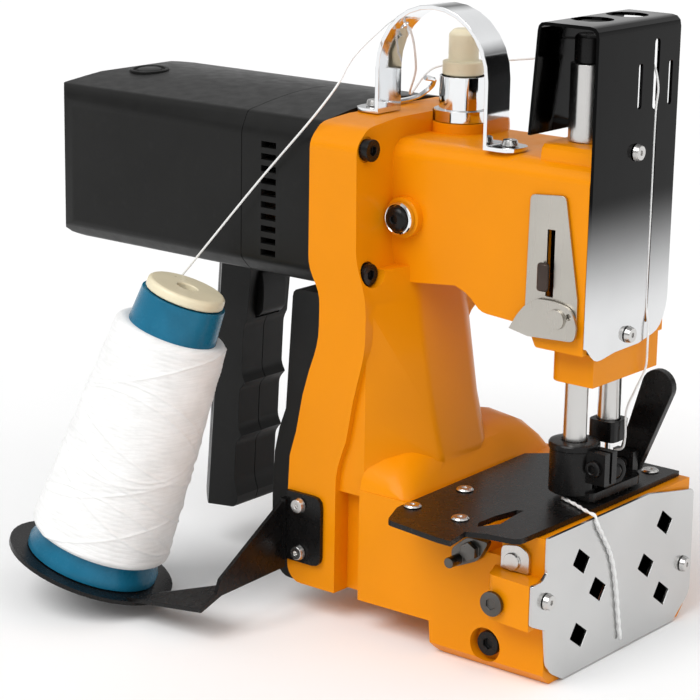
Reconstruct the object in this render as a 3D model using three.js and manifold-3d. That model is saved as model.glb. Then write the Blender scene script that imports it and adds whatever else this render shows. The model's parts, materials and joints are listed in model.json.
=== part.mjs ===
// Portable bag closer sewing machine, millimetres. +X points to the needle end, +Y to the far side, +Z up.
// z = 0 is the underside of the base block, x = 0 and y = 0 its middle.
import * as THREE from "three";
import { ConvexGeometry } from "three/addons/geometries/ConvexGeometry.js";
import { mergeVertices } from "three/addons/utils/BufferGeometryUtils.js";
import Module from "manifold-3d";

const wasm = await Module();
wasm.setup();

// General
const GAP = 0.3; // clearance between neighbouring pieces
const WELD = 1e-4;
const OVERCUT = 1; // how far a cutting tool runs past the face it opens
const ROUND_SIDES = 24;
const SMALL_SIDES = 12;
const HEX_SIDES = 6;
const TUBE_SIDES = 8;
const CORNER_STEPS = 3;
const CORNER_LIMIT = 2.1; // a rounded corner takes less than half of each of its two edges

// Base block and lower arm
const BASE = { rear: -25.5, front: 24.5, half: 48, top: 55.4, chamfer: 4 };
const LOWER_ARM = { rear: -60, floor: 12, fold: -26.5 };
const SHOULDER = { lowZ: 46, innerY: 20, outerY: 47.9, arcSteps: 6, clip: 72 };
const SHOULDER_STATIONS = [
  [-60, 72, 55], [-48, 70.5, 54], [-42.5, 66.5, 53], [-39, 60.5, 52], [-37.2, 55.3, 50],
];
const BASE_HOLLOW = { rear: -20, half: 39, floor: 5, top: 50 };
const LOWER_HOLLOW = { rear: -58, front: -24, half: 36, floor: 18 };
const NEEDLE_WELL = { x0: -2, x1: 19, y0: -10, y1: 26 };
const SIDE_BOSS = {
  rear: 2, shoulder: 6, round: 2, y: -58.5, shoulderY: -57, floor: 24, top: 41, root: -47,
};
const PLUG_RECESS = { x: -1, z: 9.4, radius: 6.6, depth: 5 };

// Rear flange, a bent band seen from the side (x, z)
const FLANGE_SIDE = [
  [-91, 11.7, 3], [-71.5, 11.7], [-71.5, 60, 6], [-66.8, 73], [-63.8, 89], [-58.6, 109, 6],
  [-58.6, 128, 6], [-63.6, 142, 4], [-64.3, 192], [-86, 192, 3], [-86, 137, 4], [-80.4, 127, 4],
  [-80.6, 109, 6], [-85, 97], [-88, 87], [-91, 72], [-94, 62], [-94.7, 48], [-94.7, 16, 3],
];
// and from the rear (y, z)
const FLANGE_END = [
  [-48, 11], [16, 11], [16, 112, 6], [48, 128, 6], [48, 184, 3], [41.5, 190, 3], [24, 192], [-24, 192],
  [-41.5, 190, 3], [-48, 184, 3],
];
const FLANGE = {
  half: 48, top: 192, recessHalf: 40, recessFar: 16, recessTop: 62, recessRear: -72, recessFront: -59,
  rearLimit: -110, frontLimit: 30, pocketHalf: 42, pocketFar: 10, pocketFront: -77, pocketFloor: 22,
  pocketTop: 122, screwX: -64.6, notch: 8,
};
const FLANGE_SCREWS = [[-42.6, 182.4], [-42.6, 136.5]];

// Column between the lower arm and the head: its front edge [x, z] at five heights
const COLUMN_LEVELS = [[-41, 52], [-41, 67], [-45.5, 84], [-53, 125], [-54, 138]];
// and the points of its plan as [x from the front edge, y]
const COLUMN_PLAN = [[-3, -27], [-0.8, -24.6], [0, -21], [0, 2], [-1.6, 7], [-5, 12]];
const COLUMN = {
  rear: -75, rib: -60, near: -45.5, far: 15.6, boreRear: -75, boreFront: -57, boreHalf: 12, boreFloor: 22,
  boreTop: 150,
};

// Head, seen from the side (x, z) and from the end (y, z)
const HEAD_SIDE = [
  [-70, 130.5], [-34.5, 134], [-28, 131.5, 4], [-23, 126, 3], [-4.5, 124.7, 1], [-0.5, 121.5],
  [1.5, 117.2, 1], [21.7, 117.2], [21.7, 184.5], [-70, 184.5],
];
const HEAD_END = [
  [-26.5, 110], [26.5, 110], [26.5, 180.5, 3], [22, 184.5, 3], [-22, 184.5, 3], [-26.5, 180.5, 3],
];
const HEAD = { half: 26.5, front: 21.7, top: 184.5 };
const CROWN = { x0: -2, x1: 21.7, half: 22, top: 190, chamfer: 4 };
const NOSE = [[1.5, -14, 5], [5, -19, 5], [21.7, -19], [21.7, 24], [5, 24, 5], [1.5, 19, 5]];
const NOSE_Z = { floor: 104, top: 120 };
const HEAD_HOLLOW = { x0: -96, x1: 17.5, half: 23.5, floor: 138, top: 180, pitX: -12, pitFloor: 128 };
const BULKHEAD = { rear: -50, front: -42 };
const PLUG_BOSS = {
  x: -57.3, z: 156.3, radius: 7.6, y: -29.5, root: -24, ring: 6.2, ringY: -32.6, dome: 4.8, domeY: -34.4,
  stem: 4,
};

// Bars
const PRESSER = { x: 8, y: -8, floor: 62, top: 212, collar: 7.5, collarFloor: 140, collarTop: 145 };
const NEEDLE = { x: 9, y: 13, barTop: 190, radius: 1, taper: 52, point: 0.35, tip: 46 };
const CLAMP = {
  outline: [[3.2, 7.2, 3], [14.8, 7.2, 3], [14.8, 18.8, 3], [3.2, 18.8, 3]], floor: 75.9, seat: 78.7,
  top: 83.8,
};
const SPRING = { floor: 146, top: 179, radius: 5.8, wire: 0.7, turns: 8, stepsPerTurn: 10 };
const SLEEVE = { bore: 4.6, stub: 6, radius: 7, top: 217.8, cap: 5.8, capTop: 228, roof: 2 };
const BAR_RADIUS = 4.3;
const BAR_BORE = BAR_RADIUS + GAP;

// Drive
const SHAFT = { y: 8, z: 163, radius: 4, rear: -112, front: -15.4 };
const CRANK = { radius: 14, throw: 9.8, rear: -15.4, front: -11, pinRadius: 2.5, pinEnd: -9.1 };
const ROD = { x0: -8.7, x1: -4.7, length: 18.5, eyeRadius: 4.4, boreRadius: 2.8, web: 5 };
const STUD = { radius: 2.4, x0: -3.7, x1: 9, y0: 5, y1: 15, half: 4 };
const DRIVE_ROD = {
  x0: -66, x1: -60, y: 0, eyeTop: 143, eyeFloor: 42, eyeRadius: 5, boreRadius: 3, web: 6,
};
const LOOPER = {
  y: 22, z: 26, shaft: 4, rear: -55, front: 18, armX0: 10.6, armX1: 14.4, crankX0: -55, crankX1: -51,
  arm: [[18.5, 22, 2], [25.5, 22, 2], [25, 44, 2], [23, 47, 1], [13, 46.2], [13, 45], [20.5, 43, 2]],
  crank: [[26, 27, 2], [22.5, 21.5, 3], [-4, 38, 2], [-4, 45, 3], [3, 46, 3]],
};
const MAIN_PULLEY = { radius: 12, x0: -108, x1: -97, bore: 4.3, flange: 13.6 };
const MOTOR_AXIS = { y: -14, z: 157 };
const MOTOR_PULLEY = { radius: 5.4, flange: 6.8 };
const BELT = { x0: -106, x1: -99, thickness: 1.6 };
const STATOR = { x0: -206, x1: -140, outer: 24, inner: 15.5 };
const ROTOR = { rear: -220, front: -96, radius: 14.8, spindle: 3, coreX0: -202, coreX1: -145 };
const FAN = { x0: -135, x1: -127, radius: 19 };

// Motor housing section (y, z)
const MOTOR_SECTION = [
  [-37, 127.7, 2], [37, 127.7, 2], [43.4, 134, 2], [43.4, 182.9, 2], [40, 189.8, 2], [27, 192, 6],
  [10, 194.1, 8], [-10, 194.1, 8], [-27, 192, 6], [-40, 189.8, 2], [-43.4, 182.9, 2], [-43.4, 134, 2],
];
const MOTOR = {
  rear: -224, split: -122.9, front: -86.3, wall: 3, endWall: 7, half: 43.4, top: 194.1, floor: 127.7,
  endRound: 12,
};
const VENT = { count: 10, x0: -113.3, x1: -106, first: 178.6, pitch: 4.58, height: 2.4 };

// Grip and trigger, seen from the side (x, z)
const GRIP_SIDE = [
  [-167, 127.4], [-143.5, 127.4], [-145, 118], [-146.8, 99], [-148.6, 95.5, 2], [-149.5, 76.5, 3],
  [-147.6, 73], [-150.6, 69.5, 2], [-151.3, 53.5, 3], [-149.4, 50], [-152.4, 46.5, 2], [-153.2, 30, 3],
  [-151.2, 24], [-152.6, 19, 2], [-171, 17, 3], [-175.5, 20, 3], [-172.5, 60], [-169.6, 104],
];
const GRIP_INSIDE = [
  [-164, 124], [-151, 124], [-153, 90], [-155, 60], [-156.5, 24], [-169, 22.5], [-169, 60], [-166, 104],
];
// and its plan (x, y, z) at the foot and at the top, with the rear corners cut off
const GRIP_PLAN = [
  [-176, 5, 10], [-168, 12.5, 10], [-130, 12.5, 10], [-167.5, 5, 130], [-159.5, 12.5, 130],
  [-130, 12.5, 130],
];
const GRIP = { half: 12.5, wall: 3, rearLimit: -190, frontLimit: -100 };
const TRIGGER = { pocketRear: -162.4, front: -142.6, half: 7, floor: 99.4, top: 119.6 };
const TRIGGER_SIDE = [
  [-157.6, 99.8, 1], [-145.8, 99.8, 1], [-143.2, 102.4, 1.5], [-142.6, 112, 3], [-143.8, 119.2, 1.5],
  [-157.6, 119.2, 1],
];

// Cover behind the column (x, z)
const BACK_COVER_SIDE = [
  [-93.5, 127.2, 3], [-94.8, 106], [-96.5, 80], [-99.5, 72], [-101.8, 62], [-102.7, 46], [-102.7, 20, 5],
  [-97, 12.5, 4], [-90, 12.5], [-86, 30], [-78, 60], [-68, 100], [-68, 127.2],
];
const BACK_COVER = {
  outerPoints: 7, near: -47.6, far: 15.6, wall: 2.4, middleZ: 60, openX: -70, innerFloor: 21.2,
  innerTop: 124.8,
};

// Needle bar cover, a bent sheet
const COVER = { front: 23.2, half: 26.7, holeRadius: 7.6, rearLimit: -10, topLimit: 235 };
const COVER_FOOT = [
  [-26.7, 120], [-20.5, 113.8, 4], [-8, 115.5], [8, 115.8], [22, 118.5, 6], [26.7, 127, 6], [26.7, 234],
  [-26.7, 234],
];
const COVER_SIDE = [
  [23.2, 100], [23.2, 233, 4], [-2, 233, 3], [-4.8, 193], [-3.6, 193], [-0.9, 231.8, 2], [22, 231.8, 3],
  [22, 100],
];
// y, z from, z to, width
const COVER_SLOTS = [
  [11.4, 201, 226, 3.4], [12.4, 123, 204, 1.8], [1, 202, 218, 2.6], [21, 201.5, 217.5, 2.6],
];
const COVER_SCREWS = [[0.4, 186.8], [0.4, 120.6]];

// Side plate, lever and sliding tab on the near face of the head (x, z)
const SIDE_PLATE = [[-1.8, 172.6, 2], [13, 173.8, 2], [19.4, 137.4], [19.4, 128], [-2.6, 128]];
const SIDE_LEVER = [
  [-8.2, 123.2], [0, 121.6], [19.6, 122.6, 2], [20.6, 128, 4], [18, 134.5, 5], [10, 136.2, 5],
  [3.5, 135.8], [-1.5, 133, 4], [-5, 128.5],
];
const PLATE_SHEET = 1.2;
const SLOT = { x: 7.6, half: 1.6, z0: 137, z1: 161, window: 1 };
const TAB = { x0: 2.2, x1: 8.6, z0: 138.8, z1: 149.4, out: 3.2, stem: 1.2 };
const RIVET = { x: 12, z: 129.7, radius: 3.6, pin: 1.8, holeX: 17, holeZ: 131.3, holeRadius: 1.2 };

// Strap handle
const STRAP = {
  x: -49, y: -18, half: 7, radius: 25.4, centreZ: 209, sheet: 1.6, rearFoot: 192.3, frontFoot: 184.8,
  foot: 11, steps: 14, eyeAngle: 2.4, eyeRadius: 1.7, eyeOuter: 27.94, eyeInner: 20.32, round: 6,
};

// Oil pump
const PUMP = {
  x: -57, y: 6, pad: 11.4, padTop: 188.3, seat: 188.6, flange: 10.6, flangeZ: 192.8, body: 8.8,
  bodyZ: 205.2, bore: 5.2, wide: 8.1, wideFloor: 199.6,
};
const PUMP_CAP = {
  stem: 4.8, stemFloor: 196, collar: 7.8, collarZ: 210.7, cap: 5.7, capTop: 222.6, round: 2,
};
const GUIDE = {
  wire: 1, steps: 24,
  path: [
    [-82, -2, 193.4], [-82, 6, 193.4], [-81, 12, 194.5], [-78, 15, 198], [-75, 12, 201], [-76, 8, 202],
  ],
};

// Throat plate (x, y)
const THROAT_PLATE = [
  [-33.5, -59.5, 2], [-27.5, -73, 2], [-3, -76.5], [3, -76.6], [1, -65], [8, -62], [20.3, -60, 3],
  [21, -8.8], [21, 26.3], [21, 46], [-14, 46, 4], [-36, 25],
];
const PLATE = { floor: 55.7, sheet: 2 };
const CURVED_SLOT = [[-1.2, -54], [-1, -44], [1, -33.5], [3.4, -32.5], [4, -40], [5.5, -50], [1, -58]];
const THROAT_SCREWS = [[-29.5, -55.5], [-26.5, -27.5], [-8.4, -55.3], [13, 38]];
const NEEDLE_HOLE = 1.8;
const DOG = {
  x0: 13, x1: 17, y0: 2, y1: 20, top: 58.4, floor: 50.5, teeth: 6, toothDepth: 1, travel: 4, side: 0.4,
};

// Front plate (y, z) with its slots
const FRONT_PLATE = [
  [-50, 22.5], [-47.6, 6, 4], [-37.6, 0.3], [38, 0.3], [50, 9, 4], [49, 51, 2], [17, 56.8], [-50, 56.8],
  [-50, 44], [-53, 41.6, 2], [-58.8, 41.6, 1], [-58.8, 26.4, 1],
];
const FRONT = { rear: 24.8, sheet: 1.4 };
const SLOT_ROWS = [[28.5, 42.6], [-28.1, 42.6], [16.4, 28.8], [-16.6, 28.8], [28.5, 14.4], [-28.1, 14.4]];
const PLATE_SLOT = { length: 9.2, width: 6.4, tilt: -0.62 };
const FRONT_SCREWS = [[-50, 33.6], [43.2, 22.3]];

// Presser foot (x, y)
const SOLE = [[1, -12, 3], [19, -12, 3], [19.5, 20, 2], [14, 25.6, 2], [3, 25.6, 2], [1, 14, 2]];
const FOOT = {
  floor: 58.9, sole: 62, hubRadius: 9, hubTop: 79, earX1: 24, earHalf: 4, earFloor: 66, slit: 0.8,
  needleHole: 3, lugX0: 5.9, lugX1: 14.9, lugY0: 22, lugY1: 25.6, lugTop: 69.4,
};
const PADDLE = {
  pivotX: 10.4, pivotZ: 64.4, y0: 26.3, y1: 29.6, radius: 5, tipX: 21, tipZ: 95, tipRadius: 6.6,
  pivotRadius: 2.4,
};

// Spool and stand: centre of the disc, lean towards +X and +Y
const STAND = {
  x: -161, y: -88, z: 13, leanX: 15.6, leanY: 10.6, disc: 33, sheet: 1.6, peg: 5, pegTop: 60,
};
const STAND_PLATE = { x0: -94, x1: -77, z0: 21, z1: 48.6, y: -48.3, round: 4 };
const STAND_ARM = [[-50, 17.6], [-50, 45.4], [-87, 22.6], [-90, 16]];
const TONGUE = {
  disc: [[28, -9], [28, 9]], foldX: [-95.6, -94],
  fold: [[-84, 17], [-84, 19.5], [-98, 12.5], [-98, 14.1]],
};
const STAND_SCREWS = [[-87.2, 43.9], [-87.2, 25.1]];
const CONE = { flange: 26, flangeZ: 5, foot: 24, footZ: 9, head: 16.4, headZ: 114, wall: 2 };
const WOUND = { floor: 11, top: 101, footRadius: 28, headRadius: 22.4, shoulder: 3 };
const SPOOL_CAP = { radius: 15.4, z0: 114.4, z1: 118.5, bore: 4 };

// Side fittings of the base (x, z)
const ADJUSTER = {
  head: 4.6, shank: 2.5, socket: 2.2, upperX: 9, upperY: -57.9, upperZ: 31, upperLength: 1.6,
  upperDepth: 8, lowerLength: 3, lowerDepth: 2.6,
};
const GUIDE_PLATE = {
  outline: [[6, 41.3, 1], [18, 41.3, 1], [18, 49, 2], [14, 51.5, 2], [6, 50, 2]], sheet: 1.6, screwX: 11,
  screwZ: 44.8,
};
const CUTTER = {
  outline: [[-14, 37, 2], [-3, 42, 2], [1.5, 50, 2], [-8, 50, 2], [-15, 44, 2]], sheet: 3, nut: 3.6,
  nutHeight: 2.4, nutX: -6, nutZ: 45.4, bolt: 2, boltOut: 9, boltX: -11.6, boltZ: 40.8,
};

// Threads
const THREAD_SIZE = { needle: 0.9, needleSteps: 104, tail: 1.4, tailSteps: 40 };
const THREAD_PATH = [
  [-150, -60, 115], [-143.4, -56.6, 123.9], [-112.4, -47, 164.1], [-83.5, -46, 195.1],
  [-79.5, -40, 204.5], [-77.5, -35, 212.9], [-74, -26, 221.4], [-69.4, -18.6, 227.2], [-66, -16.4, 224.2],
  [-70, -6, 208], [-79, 3, 196.2], [-76, 12.5, 205], [-60, 23, 208], [-30, 29.5, 212.5], [-6, 31, 216.5],
  [6, 26.6, 218.8], [16, 16, 219], [22.2, 11.8, 215.4], [23.8, 12, 208.5], [23, 12.4, 201],
  [22.9, 12.4, 160], [22.9, 12.4, 134], [23.3, 12.4, 127.4], [24.3, 12.4, 122], [24.4, 12.5, 114],
  [23.9, 12.8, 106], [20, 13.2, 97], [16.4, 13.3, 88], [16.3, 13.3, 77], [15.4, 13.2, 73.2],
  [12, 13.1, 71.8],
];
const TAIL_PATH = [
  [7, -13.2, 58.6], [15, -16.5, 58.6], [23, -20.6, 58.6], [26.4, -21, 58], [27.2, -20.2, 55],
  [27.2, -9, 38], [27.2, -0.8, 4.8],
];

// Fasteners
const PAN = { head: 3.2, crown: 2.56, headHeight: 2, shank: 1.8, recess: 0.96 };
const FLAT = { head: 3.4, crown: 2.72, headHeight: 0.8, shank: 1.8, recess: 1.02 };
const CAP_SCREW = { head: 4.1, crown: 4.1, headHeight: 3.6, shank: 2.2, recess: 2 };
const SCREW_DEPTH = 7;
const LONG_SCREW_DEPTH = 16;
const THROAT_DEPTH = 5;

// Finishes: colour, roughness, metalness
const ORANGE = [0xf0910c, 0.38, 0];
const BLACK_PLASTIC = [0x26262a, 0.5, 0];
const BLACK_METAL = [0x1c1a1c, 0.42, 0.2];
const CHROME = [0xc8c8c8, 0.12, 1];
const STEEL = [0xb0aca8, 0.32, 1];
const DARK_STEEL = [0x6f6c68, 0.4, 1];
const CREAM = [0xe6dcb4, 0.5, 0];
const BLUE = [0x23688f, 0.4, 0];
const THREAD = [0xf2f2ef, 0.9, 0];
const COPPER = [0x8a4a22, 0.4, 0.8];
const RUBBER = [0x18181a, 0.85, 0];

// ---------- Shapes ----------

// A closed outline from points [u, v, corner radius].
function outline(points) {
  const shape = new THREE.Shape();
  const count = points.length;
  points.forEach(([u, v, radius = 0], index) => {
    const corner = new THREE.Vector2(u, v);
    const before = new THREE.Vector2(...points[(index + count - 1) % count].slice(0, 2)).sub(corner);
    const after = new THREE.Vector2(...points[(index + 1) % count].slice(0, 2)).sub(corner);
    const reach = Math.min(radius, before.length() / CORNER_LIMIT, after.length() / CORNER_LIMIT);
    const start = corner.clone().add(before.normalize().multiplyScalar(reach));
    const end = corner.clone().add(after.normalize().multiplyScalar(reach));
    if (index === 0) shape.moveTo(start.x, start.y);
    else shape.lineTo(start.x, start.y);
    if (reach > 0) shape.quadraticCurveTo(corner.x, corner.y, end.x, end.y);
  });
  shape.closePath();
  return shape;
}

// Turns a solid extruded along its own z so that it runs along a world axis.
const AXES = {
  x: new THREE.Matrix4().makeBasis(
    new THREE.Vector3(0, 1, 0), new THREE.Vector3(0, 0, 1), new THREE.Vector3(1, 0, 0),
  ),
  y: new THREE.Matrix4().makeBasis(
    new THREE.Vector3(1, 0, 0), new THREE.Vector3(0, 0, 1), new THREE.Vector3(0, -1, 0),
  ),
  z: new THREE.Matrix4(),
};

// An outline extruded along a world axis between two positions: its points are (y, z) along x, (x, z) along y
// and (x, y) along z.
function slab(points, axis, from, to, round = 0) {
  const geometry = new THREE.ExtrudeGeometry(outline(points), {
    depth: to - from - 2 * round,
    bevelEnabled: round > 0,
    bevelThickness: round,
    bevelSize: round,
    bevelOffset: -round,
    bevelSegments: CORNER_STEPS,
    curveSegments: CORNER_STEPS,
  });
  geometry.translate(0, 0, round).applyMatrix4(AXES[axis]);
  const shift = { x: [from, 0, 0], y: [0, to, 0], z: [0, 0, from] }[axis];
  geometry.translate(...shift);
  return solid(geometry);
}

// A three.js geometry as a manifold solid.
function solid(geometry) {
  const loose = geometry.index ? geometry.toNonIndexed() : geometry;
  const bare = new THREE.BufferGeometry().setAttribute("position", loose.getAttribute("position"));
  const merged = mergeVertices(bare, WELD);
  return new wasm.Manifold(
    new wasm.Mesh({
      numProp: 3,
      vertProperties: merged.attributes.position.array,
      triVerts: new Uint32Array(merged.index.array),
    }),
  );
}

function box(x0, x1, y0, y1, z0, z1) {
  const geometry = new THREE.BoxGeometry(x1 - x0, y1 - y0, z1 - z0);
  geometry.translate((x0 + x1) / 2, (y0 + y1) / 2, (z0 + z1) / 2);
  return solid(geometry);
}

// A straight round bar between two points, with an optional second radius at its far end.
function bar(radius, from, to, sides = ROUND_SIDES, endRadius = radius) {
  const start = new THREE.Vector3(...from);
  const along = new THREE.Vector3(...to).sub(start);
  const geometry = new THREE.CylinderGeometry(endRadius, radius, along.length(), sides);
  geometry.translate(0, along.length() / 2, 0);
  geometry.applyQuaternion(
    new THREE.Quaternion().setFromUnitVectors(new THREE.Vector3(0, 1, 0), along.normalize()),
  );
  geometry.translate(...from);
  return solid(geometry);
}

const barX = (radius, x0, x1, y, z, sides) => bar(radius, [x0, y, z], [x1, y, z], sides);
const barY = (radius, y0, y1, x, z, sides) => bar(radius, [x, y0, z], [x, y1, z], sides);
const barZ = (radius, z0, z1, x, y, sides) => bar(radius, [x, y, z0], [x, y, z1], sides);

// A turned piece from points [radius, height], about the z axis.
function turned(profile, sides = ROUND_SIDES) {
  const points = [...profile, profile[0]].map(([radius, height]) => new THREE.Vector2(radius, height));
  return solid(new THREE.LatheGeometry(points, sides).rotateX(Math.PI / 2));
}

function hull(points) {
  return solid(new ConvexGeometry(points.map((point) => new THREE.Vector3(...point))));
}

// A round tube of the given radius along a smooth curve through the points.
function tube(points, radius, steps, sides) {
  const path = new THREE.CatmullRomCurve3(
    points.map((point) => new THREE.Vector3(...point)), false, "centripetal",
  );
  const section = new THREE.Shape().absarc(0, 0, radius, 0, 2 * Math.PI, true);
  return solid(
    new THREE.ExtrudeGeometry(
      section, { steps, extrudePath: path, curveSegments: sides / 2, bevelEnabled: false },
    ),
  );
}

function join(...solids) {
  return solids.reduce((sum, next) => sum.add(next));
}

function cut(body, ...tools) {
  return tools.reduce((rest, tool) => rest.subtract(tool), body);
}

// ---------- Assembly ----------

const machine = new THREE.Group();
machine.name = "bag_closer_sewing_machine";

function group(name, parent = machine) {
  const made = new THREE.Group();
  made.name = name;
  parent.add(made);
  return made;
}

function piece(name, body, [colour, roughness, metalness], parent) {
  const mesh = body.getMesh();
  const geometry = new THREE.BufferGeometry();
  geometry.setAttribute("position", new THREE.BufferAttribute(new Float32Array(mesh.vertProperties), 3));
  geometry.setIndex(new THREE.BufferAttribute(new Uint32Array(mesh.triVerts), 1));
  const flat = geometry.toNonIndexed();
  flat.computeVertexNormals();
  const made = new THREE.Mesh(
    flat, new THREE.MeshStandardMaterial({ color: colour, roughness, metalness }),
  );
  made.name = name;
  parent.add(made);
  return made;
}

const body = group("body");
const head = group("head");
const base = group("base");
const drive = group("drive");
const motor = group("motor");
const handle = group("handle");
const spoolStand = group("spool_stand");

// ---------- Fasteners ----------

// A screw whose head sits on the seat point, with its head outwards along the given direction.
function screw(name, seat, outward, kind, depth, parent, finish) {
  const out = new THREE.Vector3(...outward);
  const at = (distance) => new THREE.Vector3(...seat).addScaledVector(out, distance).toArray();
  const cap = bar(kind.head, at(GAP), at(GAP + kind.headHeight), ROUND_SIDES, kind.crown);
  const shank = bar(kind.shank, at(-depth), at(GAP + kind.headHeight / 2), SMALL_SIDES);
  const made = join(cap, shank);
  const recess = bar(
    kind.recess, at(GAP + kind.headHeight / 2), at(GAP + kind.headHeight + OVERCUT), HEX_SIDES,
  );
  return piece(name, cut(made, recess), finish, parent);
}

// The clearance hole of such a screw.
function screwHole(seat, outward, kind, depth) {
  const out = new THREE.Vector3(...outward);
  const at = (distance) => new THREE.Vector3(...seat).addScaledVector(out, distance).toArray();
  return bar(kind.shank + GAP, at(-depth - OVERCUT), at(OVERCUT + 2 * GAP), SMALL_SIDES);
}

const OUT_X = [1, 0, 0];
const OUT_NEAR = [0, -1, 0];
const UP = [0, 0, 1];
const coverSeats = COVER_SCREWS.map(([y, z]) => [COVER.front, y, z]);
const frontSeats = FRONT_SCREWS.map(([y, z]) => [FRONT.rear + FRONT.sheet, y, z]);
const throatSeats = THROAT_SCREWS.map(([x, y]) => [x, y, PLATE.floor + PLATE.sheet]);
const strapSeats = [
  [STRAP.x - STRAP.radius - STRAP.foot / 2, STRAP.y, STRAP.rearFoot + STRAP.sheet],
  [STRAP.x + STRAP.radius + STRAP.foot / 2, STRAP.y, STRAP.frontFoot + STRAP.sheet],
];
const flangeSeats = FLANGE_SCREWS.map(([y, z]) => [FLANGE.screwX, y, z]);
const standSeats = STAND_SCREWS.map(([x, z]) => [x, STAND_PLATE.y - STAND.sheet, z]);

const coverHoles = coverSeats.map((seat) => screwHole(seat, OUT_X, PAN, SCREW_DEPTH));
const frontHoles = frontSeats.map((seat) => screwHole(seat, OUT_X, PAN, SCREW_DEPTH));
const throatHoles = throatSeats.map((seat) => screwHole(seat, UP, FLAT, THROAT_DEPTH));
const strapHoles = strapSeats.map((seat) => screwHole(seat, UP, PAN, SCREW_DEPTH));
const flangeHoles = flangeSeats.map((seat) => screwHole(seat, OUT_X, CAP_SCREW, LONG_SCREW_DEPTH));
const standHoles = standSeats.map((seat) => screwHole(seat, OUT_NEAR, PAN, SCREW_DEPTH));

// ---------- Casting ----------

const mirrored = (x, y, z) => [[x, -y, z], [x, y, z]];

function castBody() {
  const flange = slab(FLANGE_SIDE, "y", -FLANGE.half, FLANGE.half)
    .intersect(slab(FLANGE_END, "x", FLANGE.rearLimit, FLANGE.frontLimit));
  const recess = box(
    FLANGE.recessRear, FLANGE.recessFront, -FLANGE.recessHalf, FLANGE.recessFar,
    LOWER_ARM.floor, FLANGE.recessTop,
  );
  const block = slab(
    [
      [BASE.front, 0], [BASE.front, BASE.top], [LOWER_ARM.rear, BASE.top],
      [LOWER_ARM.rear, LOWER_ARM.floor],
      [LOWER_ARM.fold, LOWER_ARM.floor + GAP], [BASE.rear, 0, BASE.chamfer],
    ],
    "y", -BASE.half, BASE.half,
  ).intersect(
    slab(
      [[-BASE.half, BASE.chamfer], [BASE.chamfer - BASE.half, 0], [BASE.half - BASE.chamfer, 0],
        [BASE.half, BASE.chamfer],
        [BASE.half, SHOULDER.clip], [-BASE.half, SHOULDER.clip]],
      "x", FLANGE.rearLimit, FLANGE.frontLimit,
    ),
  );
  const shoulder = hull(SHOULDER_STATIONS.flatMap(([x, top, edge]) => [
    ...mirrored(x, SHOULDER.outerY, SHOULDER.lowZ),
    ...Array.from({ length: SHOULDER.arcSteps + 1 }, (_, step) => {
      const angle = (step / SHOULDER.arcSteps) * (Math.PI / 2);
      const y = SHOULDER.innerY + (SHOULDER.outerY - SHOULDER.innerY) * Math.cos(angle);
      return mirrored(x, y, edge + (top - edge) * Math.sin(angle));
    }).flat(),
  ]));
  const boss = slab(
    [
      [SIDE_BOSS.rear, SIDE_BOSS.root], [SIDE_BOSS.shoulder, SIDE_BOSS.shoulderY, SIDE_BOSS.round],
      [BASE.front, SIDE_BOSS.y], [BASE.front, SIDE_BOSS.root],
    ],
    "z", SIDE_BOSS.floor, SIDE_BOSS.top,
  );
  const columnRings = COLUMN_LEVELS.map(([front, z]) => [
    [COLUMN.rear, COLUMN.near, z], [COLUMN.rib, COLUMN.near, z], [COLUMN.rear, COLUMN.far, z],
    [COLUMN.rib, COLUMN.far, z],
    ...COLUMN_PLAN.map(([offset, y]) => [front + offset, y, z]),
  ]);
  const column = join(...columnRings.slice(1).map((ring, index) => hull([...columnRings[index], ...ring])));
  const upper = slab(HEAD_SIDE, "y", -HEAD.half, HEAD.half).intersect(
    slab(HEAD_END, "x", FLANGE.rearLimit, FLANGE.frontLimit),
  );
  const crown = slab(
    [[-CROWN.half, HEAD.top - CROWN.chamfer], [CROWN.half, HEAD.top - CROWN.chamfer],
      [CROWN.half, CROWN.top, CROWN.chamfer],
      [-CROWN.half, CROWN.top, CROWN.chamfer]],
    "x", CROWN.x0, CROWN.x1,
  );
  const nose = slab(NOSE, "z", NOSE_Z.floor, NOSE_Z.top);
  const plugBoss = barY(PLUG_BOSS.radius, PLUG_BOSS.y, PLUG_BOSS.root, PLUG_BOSS.x, PLUG_BOSS.z);
  const pad = barZ(PUMP.pad, HEAD_HOLLOW.top, PUMP.padTop, PUMP.x, PUMP.y);
  const scallop = barZ(PUMP.flange + 2 * GAP, PUMP.padTop, FLANGE.top + OVERCUT, PUMP.x, PUMP.y);
  return join(
    cut(join(flange, pad), scallop), recess, block, shoulder, boss, column, upper, crown, nose,
    plugBoss,
  );
}

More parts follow.
